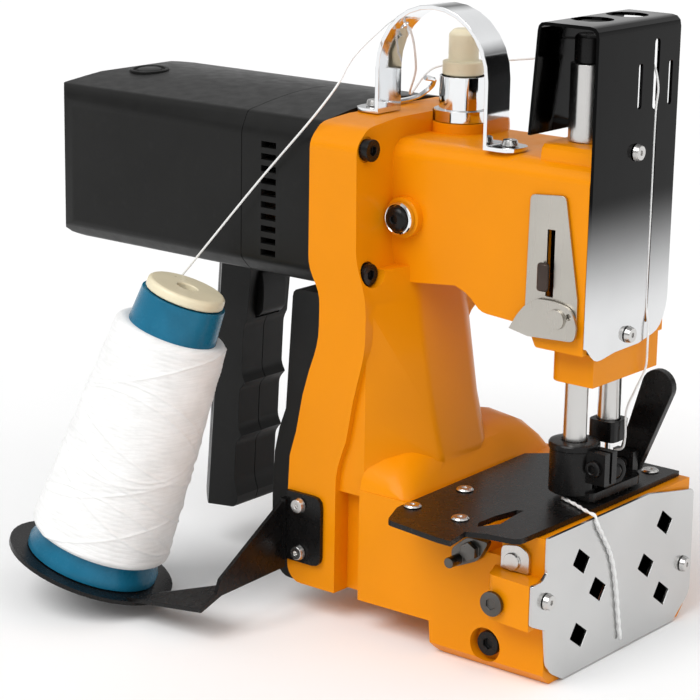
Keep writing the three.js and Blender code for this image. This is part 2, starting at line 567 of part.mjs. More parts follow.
function castHollows() {
  const rearRoom = box(
    HEAD_HOLLOW.x0, BULKHEAD.rear, -HEAD_HOLLOW.half, HEAD_HOLLOW.half, HEAD_HOLLOW.floor, HEAD_HOLLOW.top,
  );
  const headRoom = box(
    BULKHEAD.front, HEAD_HOLLOW.x1, -HEAD_HOLLOW.half, HEAD_HOLLOW.half, HEAD_HOLLOW.floor, HEAD_HOLLOW.top,
  );
  const shaftBore = barX(
    SHAFT.radius + GAP, BULKHEAD.rear - OVERCUT, BULKHEAD.front + OVERCUT, SHAFT.y, SHAFT.z,
    SMALL_SIDES,
  );
  const looperBore = barX(
    LOOPER.shaft + GAP, LOWER_HOLLOW.front - OVERCUT, BASE_HOLLOW.rear + OVERCUT,
    LOOPER.y, LOOPER.z, SMALL_SIDES,
  );
  const pit = box(
    HEAD_HOLLOW.pitX, HEAD_HOLLOW.x1, -HEAD_HOLLOW.half, HEAD_HOLLOW.half, HEAD_HOLLOW.pitFloor,
    HEAD_HOLLOW.top,
  );
  const columnBore = box(
    COLUMN.boreRear, COLUMN.boreFront, -COLUMN.boreHalf, COLUMN.boreHalf, COLUMN.boreFloor, COLUMN.boreTop,
  );
  const pocket = box(
    FLANGE.rearLimit, FLANGE.pocketFront, -FLANGE.pocketHalf, FLANGE.pocketFar,
    FLANGE.pocketFloor, FLANGE.pocketTop,
  );
  const baseRoom = box(
    BASE_HOLLOW.rear, BASE.front + OVERCUT, -BASE_HOLLOW.half, BASE_HOLLOW.half, BASE_HOLLOW.floor,
    BASE_HOLLOW.top,
  );
  const lowerRoom = box(
    LOWER_HOLLOW.rear, LOWER_HOLLOW.front, -LOWER_HOLLOW.half, LOWER_HOLLOW.half,
    LOWER_HOLLOW.floor, BASE_HOLLOW.top,
  );
  const well = box(
    NEEDLE_WELL.x0, NEEDLE_WELL.x1, NEEDLE_WELL.y0, NEEDLE_WELL.y1, BASE_HOLLOW.top - OVERCUT,
    BASE.top + OVERCUT,
  );
  const needleBore = barZ(BAR_BORE, NOSE_Z.floor - OVERCUT, CROWN.top + OVERCUT, NEEDLE.x, NEEDLE.y);
  const presserBore = barZ(BAR_BORE, NOSE_Z.floor - OVERCUT, HEAD_HOLLOW.floor, PRESSER.x, PRESSER.y);
  const sleeveBore = barZ(
    SLEEVE.stub + GAP, HEAD_HOLLOW.top - OVERCUT, CROWN.top + OVERCUT, PRESSER.x, PRESSER.y,
  );
  const plugBore = barY(
    PLUG_BOSS.stem + GAP, PLUG_BOSS.y - OVERCUT, -HEAD_HOLLOW.half + OVERCUT, PLUG_BOSS.x, PLUG_BOSS.z,
  );
  const plugRecess = barY(
    PLUG_RECESS.radius, -BASE.half - OVERCUT, PLUG_RECESS.depth - BASE.half, PLUG_RECESS.x,
    PLUG_RECESS.z,
  );
  const tabWindow = box(
    SLOT.x - SLOT.half - SLOT.window, SLOT.x + SLOT.half + SLOT.window, -HEAD.half - OVERCUT,
    OVERCUT - HEAD_HOLLOW.half, SLOT.z0 - SLOT.window, SLOT.z1 + SLOT.window,
  );
  const chainWindow = slab(CURVED_SLOT, "z", BASE_HOLLOW.top - BASE_HOLLOW.floor, BASE.top + OVERCUT);
  const counterbores = flangeSeats.map(
    ([x, y, z]) => barX(CAP_SCREW.head + 2 * GAP, x, x + FLANGE.notch, y, z),
  );
  const pumpBore = barZ(PUMP.bore, HEAD_HOLLOW.top - OVERCUT, PUMP.padTop + OVERCUT, PUMP.x, PUMP.y);
  return [
    rearRoom, headRoom, shaftBore, looperBore, pit, columnBore, pocket, baseRoom, lowerRoom, well,
    needleBore, presserBore, sleeveBore, plugBore, plugRecess, tabWindow, chainWindow,
    pumpBore, ...counterbores, ...adjusters.map(({ hole }) => hole), ...coverHoles, ...frontHoles,
    ...throatHoles,
    ...strapHoles, ...flangeHoles, ...standHoles,
  ];
}

// Socket screws in the side of the base: seat, head length and bore.
function adjuster([x, y, z], length, depth) {
  return {
    body: cut(
      join(
        barY(ADJUSTER.head, y - GAP - length, y - GAP, x, z),
        barY(ADJUSTER.shank, y - GAP - OVERCUT, y + depth, x, z, SMALL_SIDES),
      ),
      barY(ADJUSTER.socket, y - 2 * length, y - GAP - length / 2, x, z, HEX_SIDES),
    ),
    hole: barY(ADJUSTER.shank + GAP, y - OVERCUT, y + depth + GAP, x, z, SMALL_SIDES),
  };
}
const adjusters = [
  adjuster([ADJUSTER.upperX, ADJUSTER.upperY, ADJUSTER.upperZ], ADJUSTER.upperLength, ADJUSTER.upperDepth),
  adjuster(
    [PLUG_RECESS.x, PLUG_RECESS.depth - BASE.half, PLUG_RECESS.z], ADJUSTER.lowerLength,
    ADJUSTER.lowerDepth,
  ),
];

piece("main_casting", cut(castBody(), ...castHollows()), ORANGE, body);
piece("adjuster_screw", adjusters[0].body, DARK_STEEL, base);
piece("lower_adjuster_screw", adjusters[1].body, BLACK_METAL, base);
flangeSeats.forEach((seat, index) => {
  const name = ["flange_screw_upper", "flange_screw_lower"][index];
  screw(name, seat, OUT_X, CAP_SCREW, LONG_SCREW_DEPTH - GAP, body, BLACK_METAL);
});

const domeRoot = [PLUG_BOSS.x, PLUG_BOSS.ringY + OVERCUT, PLUG_BOSS.z];
const domeTip = [PLUG_BOSS.x, PLUG_BOSS.domeY, PLUG_BOSS.z];
const plug = join(
  barY(PLUG_BOSS.ring, PLUG_BOSS.ringY, PLUG_BOSS.y - GAP, PLUG_BOSS.x, PLUG_BOSS.z),
  bar(PLUG_BOSS.dome, domeRoot, domeTip, ROUND_SIDES, PLUG_BOSS.stem),
  barY(PLUG_BOSS.stem, PLUG_BOSS.y - OVERCUT, -HEAD_HOLLOW.half - GAP, PLUG_BOSS.x, PLUG_BOSS.z),
);
piece("access_plug", plug, STEEL, head);

// Cover behind the column
const shiftedFlange = FLANGE_SIDE.map(([x, z, radius]) => [x - GAP, z, radius]);
const coverInside = BACK_COVER_SIDE.slice(0, BACK_COVER.outerPoints).map(([x, z, radius]) => [
  x + BACK_COVER.wall, z > BACK_COVER.middleZ ? z - BACK_COVER.wall : z + BACK_COVER.wall / 2, radius,
]);
const backCover = cut(
  slab(BACK_COVER_SIDE, "y", BACK_COVER.near, BACK_COVER.far),
  slab(shiftedFlange, "y", -FLANGE.half, FLANGE.half),
  slab(
    [...coverInside, [BACK_COVER.openX, BACK_COVER.innerFloor], [BACK_COVER.openX, BACK_COVER.innerTop]],
    "y", BACK_COVER.near + BACK_COVER.wall, BACK_COVER.far - BACK_COVER.wall,
  ),
);
piece("column_back_cover", backCover, BLACK_PLASTIC, body);

// ---------- Motor ----------

const motorMiddle = (MOTOR.top + MOTOR.floor) / 2;
const innerSection = MOTOR_SECTION.map(([y, z, radius]) => [
  y * (1 - MOTOR.wall / MOTOR.half),
  motorMiddle + (z - motorMiddle) * (1 - (2 * MOTOR.wall) / (MOTOR.top - MOTOR.floor)),
  radius,
]);

function motorShell(from, to, hollowFrom, hollowTo) {
  return cut(slab(MOTOR_SECTION, "x", from, to), slab(innerSection, "x", hollowFrom, hollowTo));
}

const roundEnd = slab(
  [
    [MOTOR.rear, MOTOR.floor, MOTOR.endRound], [0, MOTOR.floor], [0, MOTOR.top],
    [MOTOR.rear, MOTOR.top, MOTOR.endRound],
  ],
  "y", -MOTOR.half, MOTOR.half,
).intersect(
  slab(
    [
      [MOTOR.rear, -MOTOR.half, MOTOR.endRound], [0, -MOTOR.half], [0, MOTOR.half],
      [MOTOR.rear, MOTOR.half, MOTOR.endRound],
    ],
    "z", MOTOR.floor, MOTOR.top,
  ),
);
const rearHousing = cut(
  motorShell(MOTOR.rear, MOTOR.split - GAP, MOTOR.rear + MOTOR.endWall, 0).intersect(roundEnd),
  barX(
    ROTOR.spindle + GAP, ROTOR.rear - GAP, MOTOR.rear + 2 * MOTOR.endWall, MOTOR_AXIS.y, MOTOR_AXIS.z,
    SMALL_SIDES,
  ),
);
const vents = Array.from({ length: VENT.count }, (unused, index) => {
  const middle = VENT.first - index * VENT.pitch;
  return box(
    VENT.x0, VENT.x1, -MOTOR.half - OVERCUT, MOTOR.half + OVERCUT, middle - VENT.height / 2,
    middle + VENT.height / 2,
  );
});
const frontHousing = cut(
  motorShell(MOTOR.split, MOTOR.front, MOTOR.split - OVERCUT, MOTOR.front + OVERCUT), ...vents,
);
piece("motor_rear_housing", rearHousing, BLACK_PLASTIC, motor);
piece("motor_front_housing", frontHousing, BLACK_PLASTIC, motor);

const statorCore = cut(
  barX(STATOR.outer, STATOR.x0, STATOR.x1, MOTOR_AXIS.y, MOTOR_AXIS.z),
  barX(STATOR.inner, STATOR.x0 - OVERCUT, STATOR.x1 + OVERCUT, MOTOR_AXIS.y, MOTOR_AXIS.z),
);
piece("motor_stator", statorCore, COPPER, motor);

const spin = (radius, x0, x1, sides) => barX(radius, x0, x1, MOTOR_AXIS.y, MOTOR_AXIS.z, sides);
const rotor = join(
  spin(ROTOR.spindle, ROTOR.rear, ROTOR.front, SMALL_SIDES),
  spin(ROTOR.radius, ROTOR.coreX0, ROTOR.coreX1),
  spin(FAN.radius, FAN.x0, FAN.x1),
  spin(MOTOR_PULLEY.radius, BELT.x0 - OVERCUT, BELT.x1 + OVERCUT, ROUND_SIDES),
  spin(MOTOR_PULLEY.flange, BELT.x0 - 2 * OVERCUT, BELT.x0 - OVERCUT, ROUND_SIDES),
  spin(MOTOR_PULLEY.flange, BELT.x1 + OVERCUT, BELT.x1 + 2 * OVERCUT, ROUND_SIDES),
);
piece("motor_rotor", rotor, DARK_STEEL, motor);

// ---------- Drive ----------

const pulley = cut(
  join(
    barX(MAIN_PULLEY.radius, MAIN_PULLEY.x0, MAIN_PULLEY.x1, SHAFT.y, SHAFT.z),
    barX(MAIN_PULLEY.flange, MAIN_PULLEY.x0, MAIN_PULLEY.x0 + OVERCUT, SHAFT.y, SHAFT.z),
    barX(MAIN_PULLEY.flange, MAIN_PULLEY.x1 - OVERCUT, MAIN_PULLEY.x1, SHAFT.y, SHAFT.z),
  ),
  barX(MAIN_PULLEY.bore, MAIN_PULLEY.x0 - OVERCUT, MAIN_PULLEY.x1 + OVERCUT, SHAFT.y, SHAFT.z, SMALL_SIDES),
);
piece("main_pulley", pulley, DARK_STEEL, drive);

// The belt wraps both pulleys: the hull of two discs less the hull of two slightly smaller ones.
function beltLoop(extra, x0, x1) {
  const points = [];
  for (let step = 0; step < ROUND_SIDES; step += 1) {
    const angle = (step / ROUND_SIDES) * 2 * Math.PI;
    for (const x of [x0, x1]) {
      const large = MAIN_PULLEY.radius + GAP + extra;
      const small = MOTOR_PULLEY.radius + GAP + extra;
      points.push([x, SHAFT.y + large * Math.cos(angle), SHAFT.z + large * Math.sin(angle)]);
      points.push([x, MOTOR_AXIS.y + small * Math.cos(angle), MOTOR_AXIS.z + small * Math.sin(angle)]);
    }
  }
  return hull(points);
}
const belt = cut(
  beltLoop(BELT.thickness, BELT.x0, BELT.x1), beltLoop(0, BELT.x0 - OVERCUT, BELT.x1 + OVERCUT),
);
piece("drive_belt", belt, RUBBER, drive);

// An upright link with an eye at each end.
function link({ x0, x1, eyeRadius, boreRadius, web }, y, floorZ, topZ) {
  return cut(
    join(
      barX(eyeRadius, x0, x1, y, topZ),
      barX(eyeRadius, x0, x1, y, floorZ),
      box(x0, x1, y - web / 2, y + web / 2, floorZ, topZ),
    ),
    barX(boreRadius, x0 - OVERCUT, x1 + OVERCUT, y, topZ, SMALL_SIDES),
    barX(boreRadius, x0 - OVERCUT, x1 + OVERCUT, y, floorZ, SMALL_SIDES),
  );
}

const pinZ = SHAFT.z - CRANK.throw;
const crankshaft = join(
  barX(SHAFT.radius, SHAFT.rear, SHAFT.front + OVERCUT, SHAFT.y, SHAFT.z, SMALL_SIDES),
  barX(CRANK.radius, CRANK.rear, CRANK.front, SHAFT.y, SHAFT.z),
  barX(CRANK.pinRadius, CRANK.front - OVERCUT, CRANK.pinEnd, SHAFT.y, pinZ, SMALL_SIDES),
);
piece("main_shaft", crankshaft, STEEL, drive);

const smallEyeZ = pinZ - ROD.length;
piece("connecting_rod", link(ROD, SHAFT.y, smallEyeZ, pinZ), STEEL, drive);

const needleBar = join(
  barZ(BAR_RADIUS, CLAMP.seat + GAP, NEEDLE.barTop, NEEDLE.x, NEEDLE.y),
  box(STUD.x0, STUD.x1, STUD.y0, STUD.y1, smallEyeZ - STUD.half, smallEyeZ + STUD.half),
  barX(STUD.radius, ROD.x0, STUD.x0 + OVERCUT, SHAFT.y, smallEyeZ, SMALL_SIDES),
);
piece("needle_bar", needleBar, STEEL, head);
const needleClamp = cut(
  slab(CLAMP.outline, "z", CLAMP.floor, CLAMP.top),
  barZ(BAR_BORE, CLAMP.seat, CLAMP.top + OVERCUT, NEEDLE.x, NEEDLE.y),
  barZ(NEEDLE.radius + GAP, CLAMP.floor - OVERCUT, CLAMP.seat + OVERCUT, NEEDLE.x, NEEDLE.y, SMALL_SIDES),
);
piece("needle_clamp", needleClamp, BLACK_METAL, head);
const needle = join(
  barZ(NEEDLE.radius, NEEDLE.taper, CLAMP.seat, NEEDLE.x, NEEDLE.y, SMALL_SIDES),
  bar(
    NEEDLE.point, [NEEDLE.x, NEEDLE.y, NEEDLE.tip], [NEEDLE.x, NEEDLE.y, NEEDLE.taper + GAP],
    SMALL_SIDES, NEEDLE.radius,
  ),
);
piece("needle", needle, CHROME, head);

piece("drive_rod", link(DRIVE_ROD, DRIVE_ROD.y, DRIVE_ROD.eyeFloor, DRIVE_ROD.eyeTop), DARK_STEEL, drive);

// ---------- Presser ----------

piece(
  "presser_bar",
  join(
    barZ(BAR_RADIUS, PRESSER.floor, PRESSER.top, PRESSER.x, PRESSER.y),
    barZ(PRESSER.collar, PRESSER.collarFloor, PRESSER.collarTop, PRESSER.x, PRESSER.y),
  ),
  STEEL, head,
);

const coil = [];
const coilPoints = SPRING.turns * SPRING.stepsPerTurn;
for (let step = 0; step <= coilPoints; step += 1) {
  const angle = (step / SPRING.stepsPerTurn) * 2 * Math.PI;
  coil.push([
    PRESSER.x + SPRING.radius * Math.cos(angle),
    PRESSER.y + SPRING.radius * Math.sin(angle),
    SPRING.floor + ((SPRING.top - SPRING.floor) * step) / coilPoints,
  ]);
}
piece("presser_spring", tube(coil, SPRING.wire, coilPoints, HEX_SIDES), STEEL, head);

const sleeve = turned([
  [SLEEVE.bore, HEAD_HOLLOW.top + 2 * GAP], [SLEEVE.stub, HEAD_HOLLOW.top + 2 * GAP],
  [SLEEVE.stub, CROWN.top + GAP],
  [SLEEVE.radius, CROWN.top + GAP], [SLEEVE.radius, SLEEVE.top], [SLEEVE.bore, SLEEVE.top],
]).translate(PRESSER.x, PRESSER.y, 0);
piece("presser_sleeve", sleeve, STEEL, head);
const presserCap = turned([
  [SLEEVE.bore, SLEEVE.top + GAP], [SLEEVE.cap, SLEEVE.top + GAP], [SLEEVE.cap, SLEEVE.capTop - OVERCUT],
  [SLEEVE.cap - OVERCUT, SLEEVE.capTop], [0, SLEEVE.capTop], [0, SLEEVE.capTop - SLEEVE.roof],
  [SLEEVE.bore, SLEEVE.capTop - SLEEVE.roof],
]).translate(PRESSER.x, PRESSER.y, 0);
piece("presser_cap", presserCap, BLACK_METAL, head);

const foot = cut(
  join(
    slab(SOLE, "z", FOOT.floor, FOOT.sole),
    barZ(FOOT.hubRadius, FOOT.sole - OVERCUT, FOOT.hubTop, PRESSER.x, PRESSER.y),
    box(
      PRESSER.x, FOOT.earX1, PRESSER.y - FOOT.earHalf, PRESSER.y + FOOT.earHalf, FOOT.earFloor,
      FOOT.hubTop - OVERCUT,
    ),
    box(FOOT.lugX0, FOOT.lugX1, FOOT.lugY0, FOOT.lugY1, FOOT.sole - OVERCUT, FOOT.lugTop),
  ),
  barZ(BAR_BORE, PRESSER.floor - GAP, FOOT.hubTop + OVERCUT, PRESSER.x, PRESSER.y),
  barZ(FOOT.needleHole, FOOT.floor - OVERCUT, FOOT.sole + OVERCUT, NEEDLE.x, NEEDLE.y, SMALL_SIDES),
  box(
    PRESSER.x, FOOT.earX1 + OVERCUT, PRESSER.y - FOOT.slit, PRESSER.y + FOOT.slit, FOOT.sole + OVERCUT,
    FOOT.hubTop + OVERCUT,
  ),
  barY(
    PADDLE.pivotRadius + GAP, FOOT.lugY0 - OVERCUT, FOOT.lugY1 + OVERCUT, PADDLE.pivotX, PADDLE.pivotZ,
    SMALL_SIDES,
  ),
);
piece("presser_foot", foot, BLACK_METAL, head);

// Thumb paddle: the hull of two discs on a pivot pin that passes through the lug of the foot.
const paddleDisc = (radius, x, z) => {
  const points = [];
  for (let step = 0; step < ROUND_SIDES; step += 1) {
    const angle = (step / ROUND_SIDES) * 2 * Math.PI;
    points.push([x + radius * Math.cos(angle), PADDLE.y0, z + radius * Math.sin(angle)]);
    points.push([x + radius * Math.cos(angle), PADDLE.y1, z + radius * Math.sin(angle)]);
  }
  return points;
};
const paddle = join(
  hull(
    [
      ...paddleDisc(PADDLE.radius, PADDLE.pivotX, PADDLE.pivotZ),
      ...paddleDisc(PADDLE.tipRadius, PADDLE.tipX, PADDLE.tipZ),
    ],
  ),
  barY(
    PADDLE.pivotRadius, FOOT.lugY0 - OVERCUT, PADDLE.y0 + OVERCUT, PADDLE.pivotX, PADDLE.pivotZ,
    SMALL_SIDES,
  ),
);
piece("foot_lifter_lever", paddle, BLACK_METAL, head);

// ---------- Head covers and controls ----------

function coverSlot([y, z0, z1, width]) {
  const left = y - width / 2;
  const right = y + width / 2;
  const corners = [[left, z0, width], [right, z0, width], [right, z1, width], [left, z1, width]];
  return slab(corners, "x", HEAD.front, COVER.front + OVERCUT);
}
const cover = cut(
  slab(COVER_SIDE, "y", -COVER.half, COVER.half).intersect(
    slab(COVER_FOOT, "x", COVER.rearLimit, COVER.front + OVERCUT),
  ),
  ...COVER_SLOTS.map(coverSlot),
  ...[PRESSER, NEEDLE].map(({ x, y }) => barZ(COVER.holeRadius, SLEEVE.capTop, COVER.topLimit, x, y)),
  ...coverHoles,
);
piece("needle_bar_cover", cover, CHROME, head);
coverSeats.forEach((seat, index) => {
  const name = ["cover_screw_upper", "cover_screw_lower"][index];
  screw(name, seat, OUT_X, PAN, SCREW_DEPTH - GAP, head, STEEL);
});

const plateY = -HEAD.half - GAP;
const sidePlate = cut(
  slab(SIDE_PLATE, "y", plateY - PLATE_SHEET, plateY),
  box(SLOT.x - SLOT.half, SLOT.x + SLOT.half, plateY - 2 * PLATE_SHEET, plateY + OVERCUT, SLOT.z0, SLOT.z1),
  barY(RIVET.pin + GAP, plateY - 2 * PLATE_SHEET, plateY + OVERCUT, RIVET.x, RIVET.z, SMALL_SIDES),
);
piece("side_plate", sidePlate, STEEL, head);
const leverY = plateY - PLATE_SHEET - GAP;
const sideLever = cut(
  join(
    slab(SIDE_LEVER, "y", leverY - PLATE_SHEET, leverY),
    barY(RIVET.radius, leverY - PLATE_SHEET - OVERCUT, leverY - PLATE_SHEET / 2, RIVET.x, RIVET.z),
    barY(RIVET.pin, leverY - PLATE_SHEET / 2, plateY - PLATE_SHEET / 2, RIVET.x, RIVET.z, SMALL_SIDES),
  ),
  barY(RIVET.holeRadius, leverY - 3 * PLATE_SHEET, leverY + GAP / 2, RIVET.holeX, RIVET.holeZ, SMALL_SIDES),
);
piece("side_lever", sideLever, STEEL, head);
const slideTab = join(
  box(TAB.x0, TAB.x1, plateY - PLATE_SHEET - GAP - TAB.out, plateY - PLATE_SHEET - GAP, TAB.z0, TAB.z1),
  box(
    SLOT.x - TAB.stem / 2, SLOT.x + TAB.stem / 2, plateY - PLATE_SHEET - OVERCUT, plateY - GAP / 2,
    TAB.z0, TAB.z1,
  ),
);
piece("slide_tab", slideTab, BLACK_METAL, head);

// ---------- Top of the head ----------

const strapOuter = [];
const strapInner = [];
for (let step = 0; step <= STRAP.steps; step += 1) {
  const angle = Math.PI * (1 - step / STRAP.steps);
  strapOuter.push(
    [STRAP.x + STRAP.radius * Math.cos(angle), STRAP.centreZ + STRAP.radius * Math.sin(angle)],
  );
  const inside = STRAP.radius - STRAP.sheet;
  strapInner.unshift([STRAP.x + inside * Math.cos(angle), STRAP.centreZ + inside * Math.sin(angle)]);
}
const onEyeAxis = (reach) => [
  STRAP.x + reach * Math.cos(STRAP.eyeAngle), STRAP.y, STRAP.centreZ + reach * Math.sin(STRAP.eyeAngle),
];
const strapEye = bar(STRAP.eyeRadius, onEyeAxis(STRAP.eyeOuter), onEyeAxis(STRAP.eyeInner), SMALL_SIDES);
const strapLeft = STRAP.x - STRAP.radius;
const strapRight = STRAP.x + STRAP.radius;
const strap = cut(
  slab(
    [
      [strapLeft - STRAP.foot, STRAP.rearFoot + STRAP.sheet], [strapLeft, STRAP.rearFoot + STRAP.sheet],
      ...strapOuter,
      [strapRight, STRAP.frontFoot + STRAP.sheet], [strapRight + STRAP.foot, STRAP.frontFoot + STRAP.sheet],
      [strapRight + STRAP.foot, STRAP.frontFoot], [strapRight - STRAP.sheet, STRAP.frontFoot],
      ...strapInner,
      [strapLeft + STRAP.sheet, STRAP.rearFoot], [strapLeft - STRAP.foot, STRAP.rearFoot],
    ],
    "y", STRAP.y - STRAP.half, STRAP.y + STRAP.half,
  ),
  strapEye,
  ...strapHoles,
).intersect(
  slab(
    [
      [strapLeft - STRAP.foot, STRAP.y - STRAP.half, STRAP.round],
      [strapLeft - STRAP.foot, STRAP.y + STRAP.half, STRAP.round],
      [strapRight + STRAP.foot, STRAP.y + STRAP.half, STRAP.round],
      [strapRight + STRAP.foot, STRAP.y - STRAP.half, STRAP.round],
    ],
    "z", STRAP.frontFoot - OVERCUT, STRAP.centreZ + STRAP.radius + OVERCUT,
  ),
);
piece("strap_handle", strap, CHROME, handle);
strapSeats.forEach((seat, index) => {
  const name = ["strap_screw_rear", "strap_screw_front"][index];
  screw(name, seat, UP, PAN, SCREW_DEPTH - GAP, handle, STEEL);
});

const pumpBody = turned([
  [PUMP.bore, PUMP.seat], [PUMP.flange, PUMP.seat], [PUMP.flange, PUMP.flangeZ], [PUMP.body, PUMP.flangeZ],
  [PUMP.body, PUMP.bodyZ], [PUMP.wide, PUMP.bodyZ], [PUMP.wide, PUMP.wideFloor],
  [PUMP.bore, PUMP.wideFloor],
]).translate(PUMP.x, PUMP.y, 0);
piece("oil_pump_body", pumpBody, CHROME, head);
const pumpCap = turned([
  [0, PUMP_CAP.stemFloor], [PUMP_CAP.stem, PUMP_CAP.stemFloor], [PUMP_CAP.stem, PUMP.bodyZ + GAP],
  [PUMP_CAP.collar, PUMP.bodyZ + GAP], [PUMP_CAP.collar, PUMP_CAP.collarZ],
  [PUMP_CAP.cap, PUMP_CAP.collarZ],
  [PUMP_CAP.cap, PUMP_CAP.capTop - PUMP_CAP.round], [PUMP_CAP.cap - PUMP_CAP.round, PUMP_CAP.capTop],
  [0, PUMP_CAP.capTop],
]).translate(PUMP.x, PUMP.y, 0);
piece("oil_pump_cap", pumpCap, CREAM, head);
piece("thread_guide", tube(GUIDE.path, GUIDE.wire, GUIDE.steps, TUBE_SIDES), CHROME, head);

// ---------- Base plates ----------

const throatTop = PLATE.floor + PLATE.sheet;
const throatPlate = cut(
  slab(THROAT_PLATE, "z", PLATE.floor, throatTop),
  slab(CURVED_SLOT, "z", PLATE.floor - OVERCUT, throatTop + OVERCUT),
  barZ(NEEDLE_HOLE, PLATE.floor - OVERCUT, throatTop + OVERCUT, NEEDLE.x, NEEDLE.y, SMALL_SIDES),
  box(
    DOG.x0 - DOG.side, DOG.x1 + DOG.side, DOG.y0 - DOG.travel - DOG.side, DOG.y1 + DOG.side,
    PLATE.floor - OVERCUT, throatTop + OVERCUT,
  ),
  ...throatHoles,
);
piece("throat_plate", throatPlate, BLACK_METAL, base);
throatSeats.forEach((seat, index) => {
  const name = `throat_plate_screw_${index + 1}`;
  screw(name, seat, UP, FLAT, THROAT_DEPTH - GAP, base, STEEL);
});

// The teeth of the feed dog, cut across a bar.
const pitch = (DOG.y1 - DOG.y0) / DOG.teeth;
const dogProfile = [[DOG.y1, DOG.floor], [DOG.y1, DOG.top - DOG.toothDepth]];
for (let tooth = DOG.teeth - 1; tooth >= 0; tooth -= 1) {
  dogProfile.push(
    [DOG.y0 + (tooth + 0.5) * pitch, DOG.top], [DOG.y0 + tooth * pitch, DOG.top - DOG.toothDepth],
  );
}
dogProfile.push([DOG.y0, DOG.floor]);
piece("feed_dog", slab(dogProfile.reverse(), "x", DOG.x0, DOG.x1), STEEL, base);

const looper = join(
  barX(LOOPER.shaft, LOOPER.rear, LOOPER.front, LOOPER.y, LOOPER.z, SMALL_SIDES),
  slab(LOOPER.arm, "x", LOOPER.armX0, LOOPER.armX1),
  slab(LOOPER.crank, "x", LOOPER.crankX0, LOOPER.crankX1),
);
piece("looper", looper, STEEL, base);

function plateSlot([y, z]) {
  const long = PLATE_SLOT.length / 2;
  const wide = PLATE_SLOT.width / 2;
  const corners = [[-long, -wide], [long, -wide], [long, wide], [-long, wide]];
  const tilted = corners.map(([along, across]) => [
    y + along * Math.cos(PLATE_SLOT.tilt) - across * Math.sin(PLATE_SLOT.tilt),
    z + along * Math.sin(PLATE_SLOT.tilt) + across * Math.cos(PLATE_SLOT.tilt),
  ]);
  return slab(tilted, "x", FRONT.rear - OVERCUT, FRONT.rear + FRONT.sheet + OVERCUT);
}
const frontPlate = cut(
  slab(FRONT_PLATE, "x", FRONT.rear, FRONT.rear + FRONT.sheet),
  ...SLOT_ROWS.map(plateSlot),
  ...frontHoles,
);
piece("front_plate", frontPlate, STEEL, base);
frontSeats.forEach((seat, index) => {
  const name = ["front_plate_screw_near", "front_plate_screw_far"][index];
  screw(name, seat, OUT_X, PAN, SCREW_DEPTH - GAP, base, STEEL);
});

const sideY = -BASE.half - GAP;
piece("guide_plate", join(
  slab(GUIDE_PLATE.outline, "y", sideY - GUIDE_PLATE.sheet, sideY),
  barY(
    PAN.head, sideY - GUIDE_PLATE.sheet - PAN.headHeight / 2, sideY - GAP, GUIDE_PLATE.screwX,
    GUIDE_PLATE.screwZ,
  ),
), STEEL, base);
piece("cutter_bracket", join(
  slab(CUTTER.outline, "y", sideY - CUTTER.sheet, sideY),
  barY(
    CUTTER.nut, sideY - CUTTER.sheet - CUTTER.nutHeight, sideY - GAP, CUTTER.nutX, CUTTER.nutZ,
    HEX_SIDES,
  ),
  barY(CUTTER.bolt, sideY - CUTTER.boltOut, sideY - GAP, CUTTER.boltX, CUTTER.boltZ, SMALL_SIDES),
), DARK_STEEL, base);

// ---------- Grip ----------

const gripBody = cut(
  slab(GRIP_SIDE, "y", -GRIP.half, GRIP.half).intersect(
    hull(GRIP_PLAN.flatMap(([x, y, z]) => mirrored(x, y, z))),
  ),
  slab(GRIP_INSIDE, "y", GRIP.wall - GRIP.half, GRIP.half - GRIP.wall),
  box(
    TRIGGER.pocketRear, TRIGGER.front + OVERCUT, -TRIGGER.half - GAP, TRIGGER.half + GAP,
    TRIGGER.floor - GAP, TRIGGER.top + GAP,
  ),
);
const gripNear = gripBody.intersect(
  box(GRIP.rearLimit, GRIP.frontLimit, -GRIP.half - OVERCUT, -GAP / 2, 0, MOTOR.floor),
);
const gripFar = gripBody.intersect(
  box(GRIP.rearLimit, GRIP.frontLimit, GAP / 2, GRIP.half + OVERCUT, 0, MOTOR.floor),
);
piece("grip_near_shell", gripNear, BLACK_PLASTIC, handle);
piece("grip_far_shell", gripFar, BLACK_PLASTIC, handle);
piece("trigger", slab(TRIGGER_SIDE, "y", -TRIGGER.half, TRIGGER.half), BLACK_PLASTIC, handle);

// ---------- Spool stand ----------

// The stand's own frame: its z runs along the spool, its origin is the middle of the disc.
const leanX = THREE.MathUtils.degToRad(STAND.leanX);
const leanY = THREE.MathUtils.degToRad(STAND.leanY);
const spoolAxis = new THREE.Vector3(
  Math.sin(leanX) * Math.cos(leanY), Math.sin(leanY), Math.cos(leanX) * Math.cos(leanY),
);
spoolStand.position.set(STAND.x, STAND.y, STAND.z);
spoolStand.quaternion.setFromUnitVectors(new THREE.Vector3(0, 0, 1), spoolAxis);
spoolStand.updateMatrixWorld(true);
const intoStand = spoolStand.matrixWorld.clone().invert();
const standPoint = (x, y, z) => new THREE.Vector3(x, y, z).applyMatrix4(intoStand).toArray();
const seatPlate = slab(
  [
    [STAND_PLATE.x0, STAND_PLATE.z0], [STAND_PLATE.x1, STAND_PLATE.z0, STAND_PLATE.round],
    [STAND_PLATE.x1, STAND_PLATE.z1, STAND_PLATE.round], [STAND_PLATE.x0, STAND_PLATE.z1],
  ],
  "y", STAND_PLATE.y - STAND.sheet, STAND_PLATE.y,
);
const arm = slab(STAND_ARM, "x", STAND_PLATE.x0 - STAND.sheet, STAND_PLATE.x0);
const elbow = box(
  STAND_PLATE.x0 - STAND.sheet, STAND_PLATE.x0 + OVERCUT, STAND_PLATE.y - 2 * STAND.sheet, STAND_PLATE.y,
  STAND_PLATE.z0, STAND_ARM[1][1],
);
const fixedEnd = cut(join(seatPlate, arm, elbow), ...standHoles).transform(intoStand.elements);
